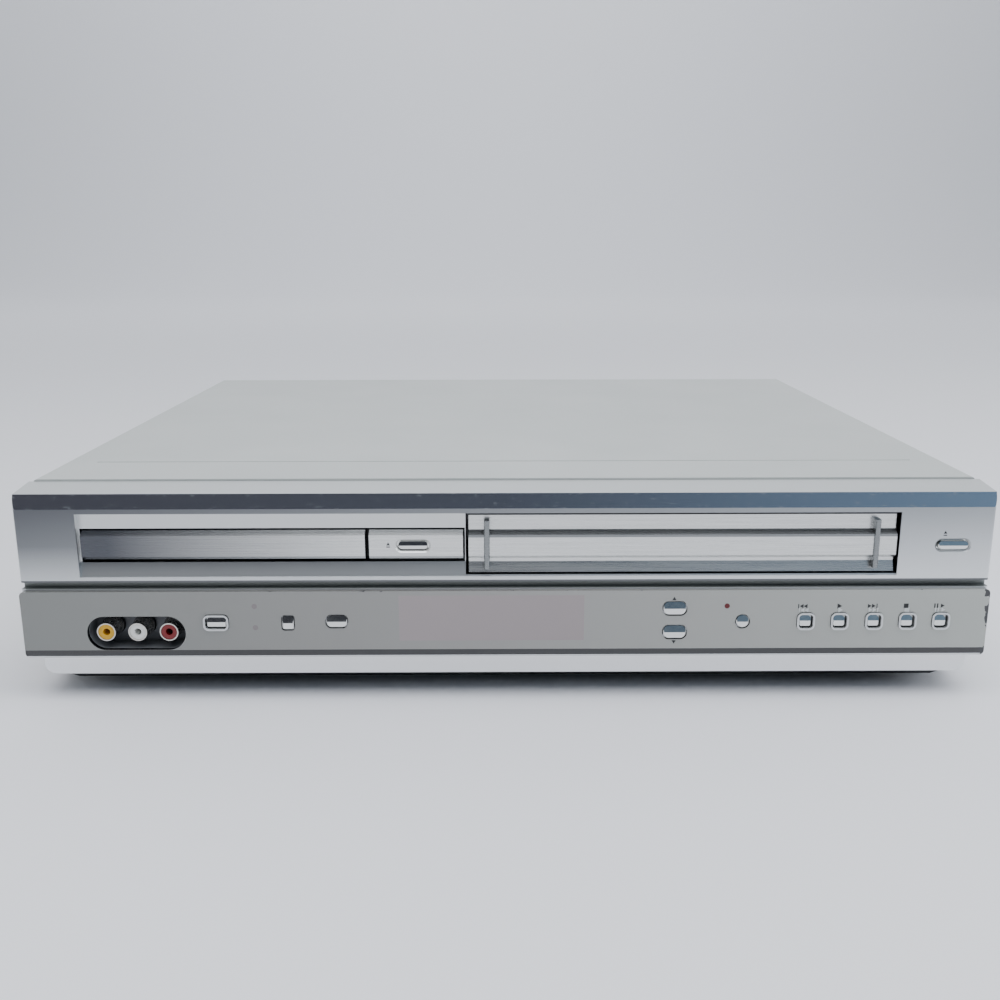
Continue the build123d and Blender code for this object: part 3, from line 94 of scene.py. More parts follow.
def add(tree, kind, settings=None, values=None, links=None):
    """Adds a node with its settings, socket values and incoming links."""
    made = tree.nodes.new(kind)
    for name, value in (settings or {}).items():
        setattr(made, name, value)
    for socket, value in (values or {}).items():
        made.inputs[socket].default_value = value
    for socket, source in (links or {}).items():
        tree.links.new(source, made.inputs[socket])
    return made


def finish_material(name, colour, metallic, roughness, **more):
    """Material with one shader, and that shader's tree."""
    material = bpy.data.materials.new(name)
    material.use_nodes = True
    tree = material.node_tree
    shader = tree.nodes["Principled BSDF"]
    values = {"Base Color": paint(colour), "Metallic": metallic, "Roughness": roughness}
    values.update(more)
    for socket, value in values.items():
        shader.inputs[socket].default_value = value
    return material, tree, shader


def position(tree, scale=(1, 1, 1), place=(0, 0, 0)):
    """Object coordinates, scaled."""
    coordinates = add(tree, "ShaderNodeTexCoord")
    return add(tree, "ShaderNodeMapping", values={"Scale": scale, "Location": place},
               links={"Vector": coordinates.outputs["Object"]}).outputs["Vector"]


def axis_value(tree, axis):
    """One of the three object coordinates, in metres."""
    split = add(tree, "ShaderNodeSeparateXYZ", links={"Vector": position(tree)})
    return split.outputs[axis]


def speckle(tree, size_mm, stretch=(1, 1, 1), detail=3.0):
    """Noise whose features are about size_mm wide."""
    scale = tuple(s / (size_mm * MM) for s in stretch)
    return add(tree, "ShaderNodeTexNoise", values={"Scale": 1.0, "Detail": detail},
               links={"Vector": position(tree, scale)}).outputs["Fac"]


def ramp(tree, value, stops):
    """Colour ramp from (place, hex colour) stops."""
    made = add(tree, "ShaderNodeValToRGB", links={"Fac": value})
    elements = made.color_ramp.elements
    while len(elements) < len(stops):
        elements.new(0.5)
    for element, (place, colour) in zip(elements, stops):
        element.position = place
        element.color = paint(colour)
    return made.outputs["Color"]


def between(tree, value, low, high):
    """One where low < value < high, otherwise nothing."""
    over = add(tree, "ShaderNodeMath", {"operation": "GREATER_THAN"}, {1: low}, {0: value})
    under = add(tree, "ShaderNodeMath", {"operation": "LESS_THAN"}, {1: high}, {0: value})
    return add(tree, "ShaderNodeMath", {"operation": "MULTIPLY"},
               links={0: over.outputs[0], 1: under.outputs[0]}).outputs[0]


def both(tree, first, second):
    """Product of two masks."""
    return add(tree, "ShaderNodeMath", {"operation": "MULTIPLY"},
               links={0: first, 1: second}).outputs[0]


def region(tree, x=None, depth=None, z=None):
    """One inside a box given in mm, with depth counted from the upper bezel's face."""
    mask = None
    for axis, span in (("X", x), ("Y", depth), ("Z", z)):
        if span is None:
            continue
        low, high = [(edge - AXIS_START[axis]) * MM for edge in span]
        inside = between(tree, axis_value(tree, axis), low, high)
        mask = inside if mask is None else both(tree, mask, inside)
    return mask


def gradient(tree, axis, low, high, most=1.0):
    """Rises from nothing to the most as the place on an axis, in mm, goes from low to high."""
    return add(tree, "ShaderNodeMapRange",
               values={"From Min": (low - AXIS_START[axis]) * MM,
                       "From Max": (high - AXIS_START[axis]) * MM, "To Max": most},
               links={"Value": axis_value(tree, axis)}).outputs["Result"]


def spot(tree, x, z, radius):
    """One within a round spot on the front, in mm."""
    flat = add(tree, "ShaderNodeCombineXYZ", links={"X": axis_value(tree, "X"),
                                                    "Z": axis_value(tree, "Z")})
    reach = add(tree, "ShaderNodeVectorMath", {"operation": "DISTANCE"},
                {1: (x * MM, 0.0, z * MM)}, {0: flat.outputs[0]})
    return between(tree, reach.outputs["Value"], -1.0, radius * MM)


def either(tree, masks):
    """One where any of the masks is."""
    joined = masks[0]
    for mask in masks[1:]:
        joined = add(tree, "ShaderNodeMath", {"operation": "MAXIMUM"},
                     links={0: joined, 1: mask}).outputs[0]
    return joined


def without(tree, mask, hole):
    """First mask with the second cut out of it."""
    left = add(tree, "ShaderNodeMath", {"operation": "SUBTRACT", "use_clamp": True},
               links={0: mask, 1: hole})
    return left.outputs[0]


def blend_colours(tree, mask, first, second):
    """First where the mask is nothing, second where it is one; each a hex code or a socket."""
    made = add(tree, "ShaderNodeMix", {"data_type": "RGBA"}, links={"Factor": mask})
    for socket, colour in ((6, first), (7, second)):
        if isinstance(colour, str):
            made.inputs[socket].default_value = paint(colour)
        else:
            tree.links.new(colour, made.inputs[socket])
    return made.outputs[2]


def blend_values(tree, mask, first, second):
    """Number that goes from first to second with the mask."""
    return add(tree, "ShaderNodeMapRange", values={"To Min": first, "To Max": second},
               links={"Value": mask}).outputs["Result"]


def relief(tree, shader, height, depth_mm, strength=1.0):
    """Bump on the shader from a height between nothing and one."""
    bump = add(tree, "ShaderNodeBump", values={"Strength": strength, "Distance": depth_mm * MM},
               links={"Height": height})
    tree.links.new(bump.outputs["Normal"], shader.inputs["Normal"])


def drive(tree, shader, socket, source):
    """Links a pattern to one of the shader's sockets."""
    tree.links.new(source, shader.inputs[socket])


# ---------------------------------------------------------------- materials
def powder_coat():
    """Steel, powder coated silver: an even satin with a fine orange peel and faint mottling."""
    material, tree, shader = finish_material("powder_coated_steel", "c3c6c6", 0.12, 0.45)
    mottle = speckle(tree, 60.0, detail=2.0)
    drive(tree, shader, "Base Color", ramp(tree, mottle, [(0.3, "c0c5c2"), (0.7, "c6cac7")]))
    drive(tree, shader, "Roughness", blend_values(tree, speckle(tree, 1.2), 0.36, 0.5))
    relief(tree, shader, speckle(tree, 0.9), 0.02, 0.5)
    return material


def silver_lacquer():
    """ABS sprayed with silver lacquer: satin metallic, paler on top where the cover's coat was
    matched, with a scuffed band along the top edge. Light and shade are painted into the colour: the
    front darkens towards its top and its left, the recess and base bar are painted paler and the lip
    darker, the top band is painted dark blue-grey as a reflection of the dim room, the socket pocket
    darkens with depth, and the gaps get painted shade, black inside and grey in the groove."""
    material, tree, shader = finish_material("silver_lacquered_abs", "b4b8b9", 0.8, 0.3)
    rise = gradient(tree, "Z", 55.0, 88.5)
    along = gradient(tree, "X", -HALF_WIDTH, HALF_WIDTH)
    # Painted shade and reflection: the silver front darkens towards its top and towards its left,
    # standing in for the dim room it mirrors.
    left_silver_painted_shade = ramp(tree, rise, [(0.0, "c9cccd"), (0.5, "777a7d"), (1.0, "5c5e62")])
    right_silver_painted_shade = ramp(tree, rise, [(0.0, "dee1e2"), (0.5, "c6c9cb"), (1.0, "a0a4a7")])
    silver = blend_colours(tree, along, left_silver_painted_shade, right_silver_painted_shade)
    # Painted light: the recess and the base bar are painted paler, and the lip darker, for how the
    # light falls on each.
    for place, colour in ((RECESS, "d6d8d8"), (LIP, "66686a"), (BASE, "eceded")):
        silver = blend_colours(tree, region(tree, **place), silver, colour)
    # Painted reflection: the top band's dark blue-grey, bluer to the right, stands in for the dim
    # room mirrored in the face that leans back; the pale scuffs are wear.
    painted_room_reflection = ramp(tree, along, [(0.0, "7a7b84"), (0.5, "7c828e"), (1.0, "9aacbd")])
    scuff_limit = 0.65
    scuff = add(tree, "ShaderNodeMath", {"operation": "GREATER_THAN"}, {1: scuff_limit},
                {0: speckle(tree, 3.0, (1.0, 1.0, 3.0), 6.0)}).outputs[0]
    band = region(tree, **BAND)
    top = region(tree, **TOP)
    colour_with_painted_shade = blend_colours(tree, band, silver, blend_colours(tree, scuff, painted_room_reflection, "b4b9be"))
    colour_with_painted_shade = blend_colours(tree, top, colour_with_painted_shade, "c3c7c6")
    # Painted shade: the socket pocket darkens with depth.
    pocket = region(tree, **SOCKET_POCKET)
    deeper = gradient(tree, "Y", 0.3, 10.0)
    painted_pocket_shade = ramp(tree, deeper, [(0.0, "8b8d90"), (1.0, "55575b")])
    colour_with_painted_shade = blend_colours(tree, pocket, colour_with_painted_shade, painted_pocket_shade)
    # Painted shade: the faces behind the bezel, the panel and the flap are painted black, and the
    # groove under the upper bezel grey.
    groove = region(tree, **GROOVE)
    behind = [region(tree, **place) for place in (BEHIND_BEZEL, BEHIND_PANEL, BEHIND_FLAP)]
    black = without(tree, either(tree, [groove] + behind), pocket)
    painted_gap_shade = blend_colours(tree, groove, "08090b", "868a87")
    drive(tree, shader, "Base Color", blend_colours(tree, black, colour_with_painted_shade, painted_gap_shade))
    drive(tree, shader, "Roughness", blend_values(tree, band, 0.3, 0.18))
    dull = either(tree, [top, black, pocket])
    drive(tree, shader, "Metallic", blend_values(tree, dull, 0.75, 0.15))
    relief(tree, shader, speckle(tree, 0.7), 0.01, 0.4)
    return material


def clear_panel():
    """Clear cast acrylic, painted silver on its back and left unpainted over the display and the
    lamps: a deep gloss, with the paint flaked away at the right edge and chipped above. Light is
    painted into the colour: the silver darkens towards the left, the hole walls get painted shade,
    and the bottom edge a painted highlight."""
    material, tree, shader = finish_material("back_painted_acrylic", "8f918f", 0.15, 0.24,
                                             **{"Coat Weight": 1.0, "Coat Roughness": 0.03})
    along = gradient(tree, "X", -HALF_WIDTH, HALF_WIDTH)
    # Painted light: the panel's silver darkens towards the left and pales to the right.
    silver = ramp(tree, along, [(0.0, "777975"), (0.5, "908f8b"), (1.0, "a9aca6")])
    window = region(tree, **DISPLAY)
    lamps = either(tree, [spot(tree, LAMPS_X, lamp_z, LAMP_RADIUS) for lamp_z in LAMPS_Z])
    colour_with_painted_shade = blend_colours(tree, window, silver, "948a8a")
    colour_with_painted_shade = blend_colours(tree, lamps, colour_with_painted_shade, "77706f")
    # Painted shade on the walls of the panel's holes, and a painted highlight along its bottom edge.
    for place, colour in ((PANEL_HOLES, "0e0f11"), (PANEL_FOOT, "08090a"),
                          (PANEL_FOOT_EDGE, "d8dada")):
        colour_with_painted_shade = blend_colours(tree, region(tree, **place), colour_with_painted_shade, colour)
    # The paint has flaked where this noise, raised towards two edges, is past the limit.
    worn = speckle(tree, 5.0, detail=8.0)
    for edge in (gradient(tree, "X", 209.5, 215.0, 0.36), gradient(tree, "Z", 50.2, 51.5, 0.16)):
        worn = add(tree, "ShaderNodeMath", {"operation": "ADD"}, links={0: worn, 1: edge}).outputs[0]
    flake_limit = 0.83
    flaked_and_gap_shade = add(tree, "ShaderNodeMath", {"operation": "GREATER_THAN"}, {1: flake_limit},
               {0: worn}).outputs[0]
    drive(tree, shader, "Base Color", blend_colours(tree, flaked_and_gap_shade, colour_with_painted_shade, "15171c"))
    drive(tree, shader, "Roughness", blend_values(tree, window, 0.24, 0.12))
    relief(tree, shader, speckle(tree, 90.0, detail=1.0), 0.15, 0.3)
    return material


def brushed_film(name, gaps, shaded_end=None, dark_faces=()):
    """Polystyrene under brushed silver film: fine brush lines that run along the bar, and painted
    shade, black, on the edges that face a gap. The film is painted darker as shade towards
    shaded_end, a (dark x, light x) pair in mm, and painted a darker grey as shade on the dark_faces,
    the flap's bevel and ribs."""
    material, tree, shader = finish_material(name, "d0d1d0", 0.9, 0.26)
    lines = speckle(tree, 0.5, (0.012, 1.0, 1.0), 5.0)
    film = ramp(tree, lines, [(0.3, "cbcccb"), (0.7, "dfe0de")])
    # Painted shade: the film darkens towards the given end.
    if shaded_end:
        film = blend_colours(tree, gradient(tree, "X", *shaded_end), "54565b", film)
    # Painted shade: the bevel and ribs are painted a darker grey.
    if dark_faces:
        painted_shade_faces = either(tree, [region(tree, **face) for face in dark_faces])
        film = blend_colours(tree, painted_shade_faces, film, "858889")
    # Painted shade: the edges that face a gap are painted black.
    flaked_and_gap_shade = either(tree, [region(tree, **gap) for gap in gaps])
    drive(tree, shader, "Base Color", blend_colours(tree, flaked_and_gap_shade, film, "08090b"))
    drive(tree, shader, "Metallic", blend_values(tree, flaked_and_gap_shade, 0.9, 0.0))
    drive(tree, shader, "Roughness", blend_values(tree, lines, 0.22, 0.34))
    relief(tree, shader, lines, 0.015, 0.6)
    return material


def bar_gaps(node):
    """Where a bar gets painted shade, black: its two end faces, as the frame has them, and its back.
    """
    low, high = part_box(node)
    ends = [{"x": (end / MM - 0.1, end / MM + 0.1)} for end in (low[0], high[0])]
    return ends + [{"depth": (3.0, 20.0)}]


def vacuum_plate():
    """ABS, vacuum plated: a bright mirror, slightly softened by handling."""
    material, tree, shader = finish_material("vacuum_plated_abs", "dfe0dd", 1.0, 0.16)
    drive(tree, shader, "Roughness", blend_values(tree, speckle(tree, 2.0), 0.10, 0.24))
    return material


def satin_collar():
    """ABS, satin plated: a soft pale metal rim."""
    material, tree, shader = finish_material("satin_plated_abs", "c9cbcb", 0.9, 0.3)
    drive(tree, shader, "Roughness", blend_values(tree, speckle(tree, 1.0), 0.25, 0.38))
    return material


def moulded(name, colour, roughness=0.48, grain_mm=0.8, **more):
    """Injection-moulded plastic: even colour, with the tool's fine spark-eroded grain."""
    material, tree, shader = finish_material(name, colour, 0.0, roughness, **more)
    drive(tree, shader, "Roughness",
          blend_values(tree, speckle(tree, grain_mm * 4), roughness - 0.06, roughness + 0.08))
    relief(tree, shader, speckle(tree, grain_mm), 0.02, 0.5)
    return material


def zinc_sheet(name, light, dark, roughness=0.36):
    """Cold-rolled steel, zinc plated: a grey metal with faint rolling lines and cloudy patches."""
    material, tree, shader = finish_material(name, light, 1.0, roughness)
    cloud = speckle(tree, 35.0, detail=4.0)
    drive(tree, shader, "Base Color", ramp(tree, cloud, [(0.3, dark), (0.7, light)]))
    rolled = speckle(tree, 1.0, (0.05, 1.0, 1.0))
    drive(tree, shader, "Roughness", blend_values(tree, rolled, roughness - 0.08, roughness + 0.12))
    relief(tree, shader, rolled, 0.01, 0.4)
    return material


def turned(name, colour, roughness=0.22):
    """Machined metal: bright, with fine tool marks one above the other."""
    material, tree, shader = finish_material(name, colour, 1.0, roughness)
    marks = speckle(tree, 0.6, (0.1, 0.1, 1.0))
    drive(tree, shader, "Roughness", blend_values(tree, marks, roughness - 0.06, roughness + 0.1))
    relief(tree, shader, marks, 0.01, 0.5)
    return material


def black_steel():
    """Steel dipped in black enamel: deep black with a soft sheen and a light orange peel."""
    material, tree, shader = finish_material("black_enamelled_steel", "060709", 0.0, 0.35)
    drive(tree, shader, "Roughness", blend_values(tree, speckle(tree, 6.0), 0.28, 0.46))
    relief(tree, shader, speckle(tree, 1.5), 0.03, 0.4)
    return material


def circuit_board(name, axis, low, high):
    """Paper laminate under green solder mask with copper tracks; what stands on the board, past
    the given heights, is black moulded epoxy."""
    material, tree, shader = finish_material(name, "1f5a37", 0.0, 0.3, **{"Coat Weight": 0.4})
    tracks = add(tree, "ShaderNodeTexBrick",
                 {"offset": 0.37, "squash": 0.6, "squash_frequency": 3},
                 {"Scale": 1.0, "Mortar Size": 0.08, "Color1": paint("1d5634"),
                  "Color2": paint("22623c"), "Mortar": paint("3d8052"), "Brick Width": 1.6,
                  "Row Height": 0.5},
                 {"Vector": position(tree, (140, 140, 140))}).outputs["Color"]
    on_board = between(tree, axis_value(tree, axis), low, high)
    drive(tree, shader, "Base Color", blend_colours(tree, on_board, "1b1b1d", tracks))
    relief(tree, shader, speckle(tree, 1.5), 0.02, 0.4)
    return material


def socket_metal():
    """Brass, nickel plated: bright and faintly warm, dulled where plugs rub."""
    material, tree, shader = finish_material("nickel_plated_brass", "cfccc4", 1.0, 0.24)
    drive(tree, shader, "Roughness", blend_values(tree, speckle(tree, 1.5), 0.16, 0.36))
    return material


def rear_block():
    """Black moulded block whose tubes, past the rear panel, are nickel plated."""
    material, tree, shader = finish_material("plated_socket_block", "17181b", 0.0, 0.45)
    plating_start = (REAR_FACE + 0.85 - MIDDLE_Y) * MM
    outside = between(tree, axis_value(tree, "Y"), plating_start, 1.0)
    drive(tree, shader, "Base Color", blend_colours(tree, outside, "17181b", "cfccc4"))
    drive(tree, shader, "Metallic", outside)
    drive(tree, shader, "Roughness", blend_values(tree, outside, 0.45, 0.24))
    return material


def smoked_glass():
    """Soda glass, smoked: the display tube's dark gloss with its faint cathode mesh."""
    material, tree, shader = finish_material("smoked_display_glass", "3a3436", 0.0, 0.12)
    mesh = speckle(tree, 1.2, (1.0, 1.0, 0.1))
    drive(tree, shader, "Base Color", ramp(tree, mesh, [(0.35, "322d2f"), (0.65, "4b4245")]))
    return material


def foot_rubber():
    """Nitrile rubber, moulded: dull black with dust in its grain."""
    material, tree, shader = finish_material("moulded_nitrile", "1a1a1b", 0.0, 0.75)
    dust = ramp(tree, speckle(tree, 3.0), [(0.4, "151516"), (0.75, "2b2a29")])
    drive(tree, shader, "Base Color", dust)
    relief(tree, shader, speckle(tree, 1.0), 0.06, 0.6)
    return material


PLATED = vacuum_plate()
STEEL = zinc_sheet("zinc_plated_steel", "b9bdbf", "9da2a5")
BRIGHT_STEEL = turned("ground_steel", "c4c6c8")
GREY_ABS = moulded("charcoal_abs", "34373b")
BLACK_ABS = moulded("black_abs", "121316", 0.42)
WHITE_ACETAL = moulded("white_acetal", "e6e4dc", 0.4)
NICKEL = socket_metal()
RUBBER = foot_rubber()
YELLOW = moulded("yellow_abs", "d9a514", 0.3)
WHITE = moulded("white_abs", "e9e9e4", 0.3)
RED = moulded("red_abs", "7d1114", 0.3)
BLUE = moulded("blue_abs", "1d4c9c", 0.3)
GREEN = moulded("green_abs", "1f7a45", 0.3)
INK = moulded("black_print", "17181a", 0.5, 0.3)
# Pale ink for the painted reflections of the panel's marks
REFLECTION_INK = moulded("painted_reflection_of_print", "c9ccca", 0.4, 0.3)
RECORD_INK = moulded("red_print", "5e1416", 0.5, 0.3)

FINISHES = {
    "top_cover": powder_coat(),
    "front_bezel": silver_lacquer(),
    "panel_window": clear_panel(),
    "button_collars": satin_collar(),
    "open_close_bar": brushed_film("bar_silver_film", bar_gaps("open_close_bar")),
    # The tray front's film is painted darker to the left as shade.
    "tray_front": brushed_film("tray_silver_film", bar_gaps("tray_front"),
                               shaded_end=(-175.0, -62.0)),
    # The flap's edges get painted shade, black, and its bevel and ribs a darker grey.
    "vhs_flap": brushed_film("flap_silver_film", FLAP_EDGES, dark_faces=FLAP_BEVELS),
    "front_board": circuit_board("front_solder_mask", "Y", (12.02 - MIDDLE_Y) * MM, 1.0),
    "main_board": circuit_board("main_solder_mask", "Z", 0.0, 0.01561),
    "power_board": circuit_board("power_solder_mask", "Z", 0.0, 0.01561),
    "display_module": smoked_glass(),
    "indicator_lights": moulded("tinted_lamp_epoxy", "5c1512", 0.15),
    "front_jack_block": BLACK_ABS,
    "front_jack_shells": NICKEL,
    "video_jack": YELLOW,
    "audio_left_jack": WHITE,
    "audio_right_jack": RED,
    "base_chassis": black_steel(),
    "rear_panel": zinc_sheet("rear_zinc_sheet", "b2b6b8", "a0a5a7", 0.4),
    "rubber_feet": RUBBER,
    "cover_screws": turned("nickel_plated_screw", "a9abad"),
    "ac_inlet": BLACK_ABS,
    "rear_jack_block": rear_block(),
    "tuner_box": STEEL,
    "rf_connectors": NICKEL,
    "disc_tray": GREY_ABS,
    "tray_gear": WHITE_ACETAL,
    "motor_pinion": WHITE_ACETAL,
    "loading_motor": STEEL,
    "dvd_loader_frame": BLACK_ABS,
    "traverse_deck": STEEL,
    "sled_rails": BRIGHT_STEEL,
    "pickup_sled": GREY_ABS,
    "spindle_motor": STEEL,
    "disc_turntable": BLACK_ABS,
    "clamp_bridge": STEEL,
    "disc_clamper": WHITE_ACETAL,
    "vhs_chassis": STEEL,
    "carriage_runners": GREY_ABS,
    "cassette_holder": STEEL,
    "lower_drum": turned("turned_aluminium", "c9cbcd"),
    "head_drum": turned("polished_aluminium", "d6d8da", 0.16),
    "capstan_flywheel": BRIGHT_STEEL,
    "pinch_arm": STEEL,
    "pinch_roller": RUBBER,
    "supply_reel": WHITE_ACETAL,
    "take_up_reel": WHITE_ACETAL,
}
for name, piece in nodes.items():
    finish = FINISHES.get(name, PLATED)
    if not piece.material_slots:
        piece.data.materials.append(finish)
    for slot in piece.material_slots:
        slot.material = finish


# ---------------------------------------------------------------- modelling helpers
def start():
    """Object mode with nothing selected."""
    if bpy.context.object and bpy.context.object.mode != "OBJECT":
        bpy.ops.object.mode_set(mode="OBJECT")
    bpy.ops.object.select_all(action="DESELECT")


def settle(name, finish, body):
    """Names the active piece, puts its place in its mesh and fixes it to a body."""
    piece = bpy.context.object
    bpy.ops.object.mode_set(mode="EDIT")
    bpy.ops.mesh.select_all(action="SELECT")
    bpy.ops.mesh.normals_make_consistent(inside=False)
    bpy.ops.object.mode_set(mode="OBJECT")
    bpy.ops.object.transform_apply(location=True, rotation=True, scale=True)
    piece.name = name
    piece.data.materials.clear()
    piece.data.materials.append(finish)
    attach(piece, body)
    return piece


def thicken(depth_mm):
    """Pulls a flat mark forward by its printed thickness."""
    bpy.ops.object.mode_set(mode="EDIT")
    bpy.ops.mesh.select_all(action="SELECT")
    bpy.ops.mesh.extrude_region_move(TRANSFORM_OT_translate={"value": (0, -depth_mm * MM, 0)})
    bpy.ops.object.mode_set(mode="OBJECT")


PRINT_DEPTH = 0.04


def printed_triangle(x, y, z, size, turn):
    """Triangle of ink that points up, turned clockwise seen from the front."""
    start()
    bpy.ops.mesh.primitive_circle_add(vertices=3, radius=size * MM, fill_type="NGON",
                                      location=at(x, y, z), rotation=(pi / 2, radians(turn), 0))
    bpy.ops.object.transform_apply(location=True, rotation=True, scale=True)
    thicken(PRINT_DEPTH)
    return bpy.context.object


def printed_bar(x, y, z, width, height):
    """Rectangle of ink."""
    start()
    bpy.ops.mesh.primitive_plane_add(size=1, location=at(x, y, z), rotation=(pi / 2, 0, 0))
    bpy.context.object.scale = (width * MM, height * MM, 1)
    bpy.ops.object.transform_apply(location=True, rotation=True, scale=True)
    thicken(PRINT_DEPTH)
    return bpy.context.object


def printed_dot(x, y, z, size):
    """Round spot of ink."""
    start()
    bpy.ops.mesh.primitive_circle_add(vertices=24, radius=size * MM, fill_type="NGON",
                                      location=at(x, y, z), rotation=(pi / 2, 0, 0))
    bpy.ops.object.transform_apply(location=True, rotation=True, scale=True)
    thicken(PRINT_DEPTH)
    return bpy.context.object


def one_mark(name, shapes, finish=INK):
    """Joins printed shapes into one piece on the cabinet."""
    start()
    for shape in shapes:
        shape.select_set(True)
    bpy.context.view_layer.objects.active = shapes[0]
    if len(shapes) > 1:
        bpy.ops.object.join()
    return settle(name, finish, "cabinet")


UP, RIGHT, DOWN, LEFT = 0, 90, 180, -90
MARK_Z = 43.9
REFLECTION_DROP = 1.9        # painted reflection: a pale copy of each mark, a little lower and right, stands in for its reflection in the paint behind the panel
REFLECTION_SHIFT = 0.5


def print_row(ending, shift, z, finish):
    """Prints the panel's row of marks in one ink, moved sideways by shift."""
    def bar(x, width, height=2.1):
        return printed_bar(x + shift, PANEL_FACE, z, width, height)

    def arrow(x, turn, size=1.15):
        return printed_triangle(x + shift, PANEL_FACE, z, size, turn)

    one_mark("previous_mark" + ending,
             [bar(130.2, 0.4, 2.0), arrow(131.8, LEFT), arrow(133.6, LEFT)], finish)
    one_mark("play_mark" + ending, [arrow(148.2, RIGHT, 1.4)], finish)
    one_mark("next_mark" + ending,
             [arrow(161.6, RIGHT), arrow(163.4, RIGHT), bar(165.1, 0.4, 2.0)], finish)
    one_mark("stop_mark" + ending, [bar(178.1, 2.1)], finish)
    one_mark("pause_mark" + ending, [bar(190.9, 0.6), bar(192.1, 0.6), arrow(194.1, RIGHT)], finish)


def opening_mark(name, x, z):
    """The common sign for opening: a triangle over a bar."""
    one_mark(name, [printed_triangle(x, BAR_FACE, z, 0.9, UP),
                    printed_bar(x, BAR_FACE, z - 1.2, 1.6, 0.45)])


print_row("", 0, MARK_Z, INK)
# Painted reflection: the row again in pale ink, lower and to the right.
print_row("_painted_reflection", REFLECTION_SHIFT, MARK_Z - REFLECTION_DROP, REFLECTION_INK)
one_mark("channel_up_mark", [printed_triangle(74.8, PANEL_FACE, 47.4, 1.1, UP)])
one_mark("channel_down_mark", [printed_triangle(75.2, PANEL_FACE, 27.4, 1.1, DOWN)])
one_mark("record_mark", [printed_dot(98.4, PANEL_FACE, 44.1, 1.2)], RECORD_INK)
opening_mark("open_close_mark", -51.7, 72.3)
opening_mark("eject_mark", 193.4, 76.9)


def socket_ring(name, x, z, y_front, y_back, outer, inner, finish):
    """Coloured plastic ring inside a phono socket: a disc, inset, holed and drawn back."""
    start()
    bpy.ops.mesh.primitive_circle_add(vertices=32, radius=outer * MM, fill_type="NGON",
                                      location=at(x, y_front, z), rotation=(pi / 2, 0, 0))
    bpy.ops.object.transform_apply(location=True, rotation=True, scale=True)
    bpy.ops.object.mode_set(mode="EDIT")
    bpy.ops.mesh.select_all(action="SELECT")
    bpy.ops.mesh.inset(thickness=(outer - inner) * MM)
    bpy.ops.mesh.delete(type="FACE")
    bpy.ops.mesh.select_all(action="SELECT")
    length = (y_back - y_front) * MM
    bpy.ops.mesh.extrude_region_move(TRANSFORM_OT_translate={"value": (0, length, 0)})
    bpy.ops.object.mode_set(mode="OBJECT")
    return settle(name, finish, "cabinet")


RING_FRONT = REAR_FACE + 8.0
RING_BACK = REAR_FACE + 1.0
RING_OUTER = 3.6
RING_BORE = 2.8
rear_columns = (36.0, 51.0, 66.0, 81.0)
rear_rows = ((34.0, (YELLOW, WHITE, RED, YELLOW)), (50.0, (GREEN, BLUE, RED, WHITE)),
             (66.0, (YELLOW, WHITE, RED, BLACK_ABS)))
for row, (z, colours) in enumerate(rear_rows, 1):
    for column, (x, colour) in enumerate(zip(rear_columns, colours), 1):
        socket_ring(f"rear_ring_{row}_{column}", x, z, RING_FRONT, RING_BACK, RING_OUTER,
                    RING_BORE, colour)

# ---------------------------------------------------------------- floor, lights and camera
BACK_EDGE_Y = 2.9       # only the floor's back edge lies past this, in metres
BACKDROP_HEIGHT = 4.0
start()
bpy.ops.mesh.primitive_plane_add(size=6.0, location=(0, 1.5, 0))
floor = bpy.context.object
floor.name = "studio_floor"
bpy.ops.object.mode_set(mode="EDIT")
bpy.ops.mesh.select_all(action="DESELECT")
bpy.ops.object.mode_set(mode="OBJECT")
for edge in floor.data.edges:
    edge.select = all(floor.data.vertices[v].co.y > BACK_EDGE_Y for v in edge.vertices)
bpy.ops.object.mode_set(mode="EDIT")
bpy.ops.mesh.extrude_region_move(TRANSFORM_OT_translate={"value": (0, 0, BACKDROP_HEIGHT)})
bpy.ops.object.mode_set(mode="OBJECT")
bend = floor.modifiers.new("bend", "BEVEL")
bend.width = 1.5
bend.segments = 24
bpy.ops.object.modifier_apply(modifier="bend")
bpy.ops.object.shade_smooth()
# Matt studio paper: pale, cool and even.
paper, paper_tree, paper_shader = finish_material("studio_paper", "f3f4f7", 0.0, 0.7)
drive(paper_tree, paper_shader, "Roughness",
      blend_values(paper_tree, speckle(paper_tree, 20.0), 0.65, 0.8))
floor.data.materials.append(paper)

world = bpy.data.worlds.new("studio_air")
bpy.context.scene.world = world
world.use_nodes = True
air = world.node_tree
background = air.nodes["Background"]
background.inputs["Strength"].default_value = 1.1


def fade(value, low, high):
    """Smooth step of a direction's component, for the air around the studio."""
    return add(air, "ShaderNodeMapRange", {"interpolation_type": "SMOOTHSTEP"},
               {"From Min": low, "From Max": high}, {"Value": value}).outputs["Result"]


# The white tent is open towards the front, above the lens: the dim room behind it, bluer on the
# right where its window is, is what the faces that lean back mirror.
direction = add(air, "ShaderNodeTexCoord").outputs["Generated"]
sideways, depthways, upwards = add(air, "ShaderNodeSeparateXYZ",
                                   links={"Vector": direction}).outputs
in_front = fade(depthways, -0.15, -0.5)
above_floor = fade(upwards, 0.02, 0.22)
below_roof = fade(upwards, 0.99, 0.8)
open_side = both(air, in_front, both(air, above_floor, below_roof))
room = ramp(air, fade(sideways, -0.6, 0.6), [(0.0, "2c2b32"), (0.5, "33373f"), (1.0, "6f8aa3")])
overhead = blend_colours(air, fade(upwards, 0.75, 0.97), "f4f6f9", "a4a8ad")
air.links.new(blend_colours(air, open_side, overhead, room), background.inputs["Color"])


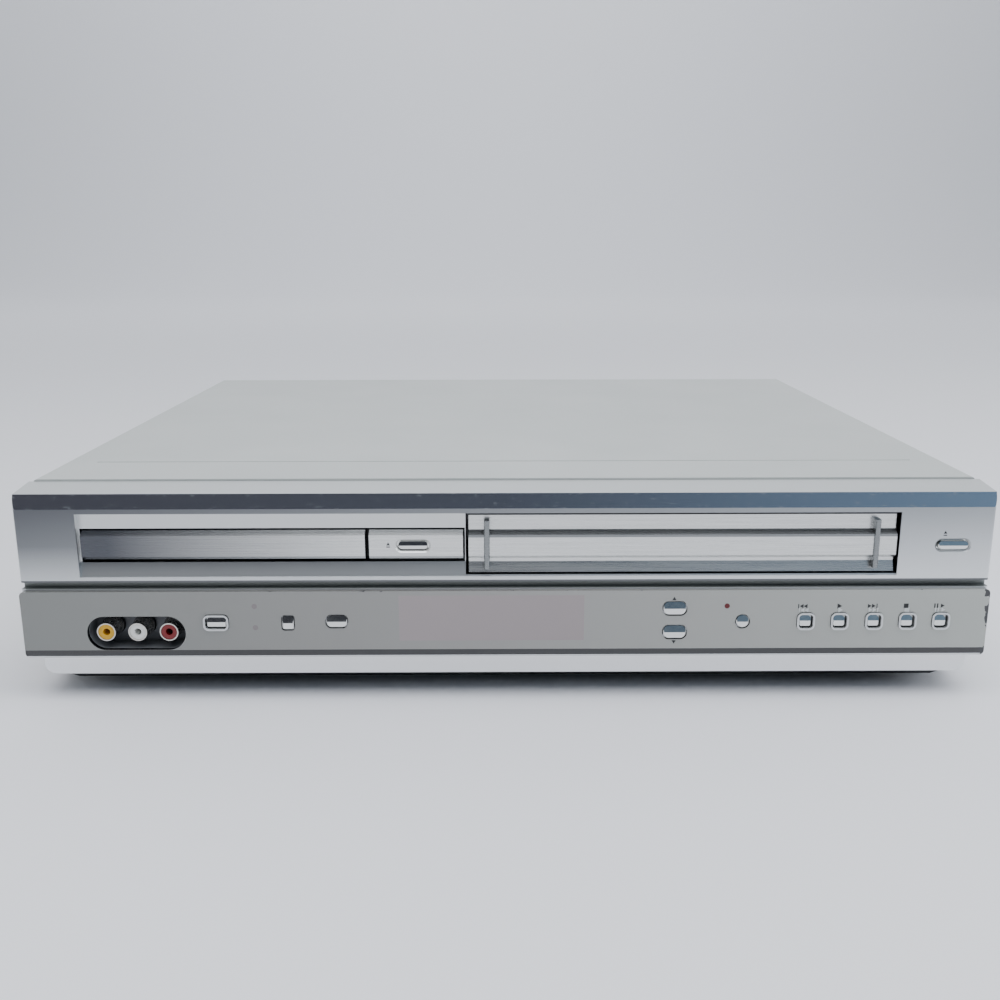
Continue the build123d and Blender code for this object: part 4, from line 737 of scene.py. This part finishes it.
def soft_light(name, place, target, width, depth, power, colour):
    """Rectangular soft box that faces a point."""
    data = bpy.data.lights.new(name, "AREA")
    data.shape = "RECTANGLE"
    data.size = width
    data.size_y = depth
    data.energy = power
    data.color = paint(colour)[:3]
    light = bpy.data.objects.new(name, data)
    bpy.context.scene.collection.objects.link(light)
    light.location = place
    light.rotation_euler = (Vector(target) - Vector(place)).to_track_quat("-Z", "Y").to_euler()
    return light


soft_light("overhead_box", place=(0.1, -0.55, 1.7), target=(0, -0.2, 0),
           width=2.4, depth=1.4, power=36, colour="f8f9ff")
soft_light("side_box", place=(1.9, -0.5, 0.9), target=(0, -0.2, 0.05),
           width=1.0, depth=1.0, power=9, colour="f4f8ff")
soft_light("backdrop_box", place=(0, 2.2, 2.4), target=(0, 4.4, 0.8),
           width=3.0, depth=1.0, power=45, colour="f8f9ff")

# Camera solved from the photograph, in mm and degrees
CAMERA_PLACE = (-4.78, -444.6, 202.8)
CAMERA_PITCH = radians(13.960)
CAMERA_YAW = radians(0.298)
CAMERA_ROLL = radians(-0.090)
FOCAL_PIXELS = 1052.9
PHOTO_PIXELS = 1000.0
SENSOR_WIDTH = 36.0
forward = Vector((sin(CAMERA_YAW) * cos(CAMERA_PITCH), cos(CAMERA_YAW) * cos(CAMERA_PITCH),
                  -sin(CAMERA_PITCH)))
level = Vector((cos(CAMERA_YAW), -sin(CAMERA_YAW), 0))
upright = level.cross(forward)
right = cos(CAMERA_ROLL) * level + sin(CAMERA_ROLL) * upright
up = -sin(CAMERA_ROLL) * level + cos(CAMERA_ROLL) * upright
camera_data = bpy.data.cameras.new("photo_camera")
camera_data.sensor_width = SENSOR_WIDTH
camera_data.lens = SENSOR_WIDTH * FOCAL_PIXELS / PHOTO_PIXELS
camera_data.clip_start = 0.01
camera = bpy.data.objects.new("photo_camera", camera_data)
bpy.context.scene.collection.objects.link(camera)
turn = Matrix((right, up, -forward)).transposed().to_4x4()
camera.matrix_world = Matrix.Translation(at(*CAMERA_PLACE)) @ turn
bpy.context.scene.camera = camera
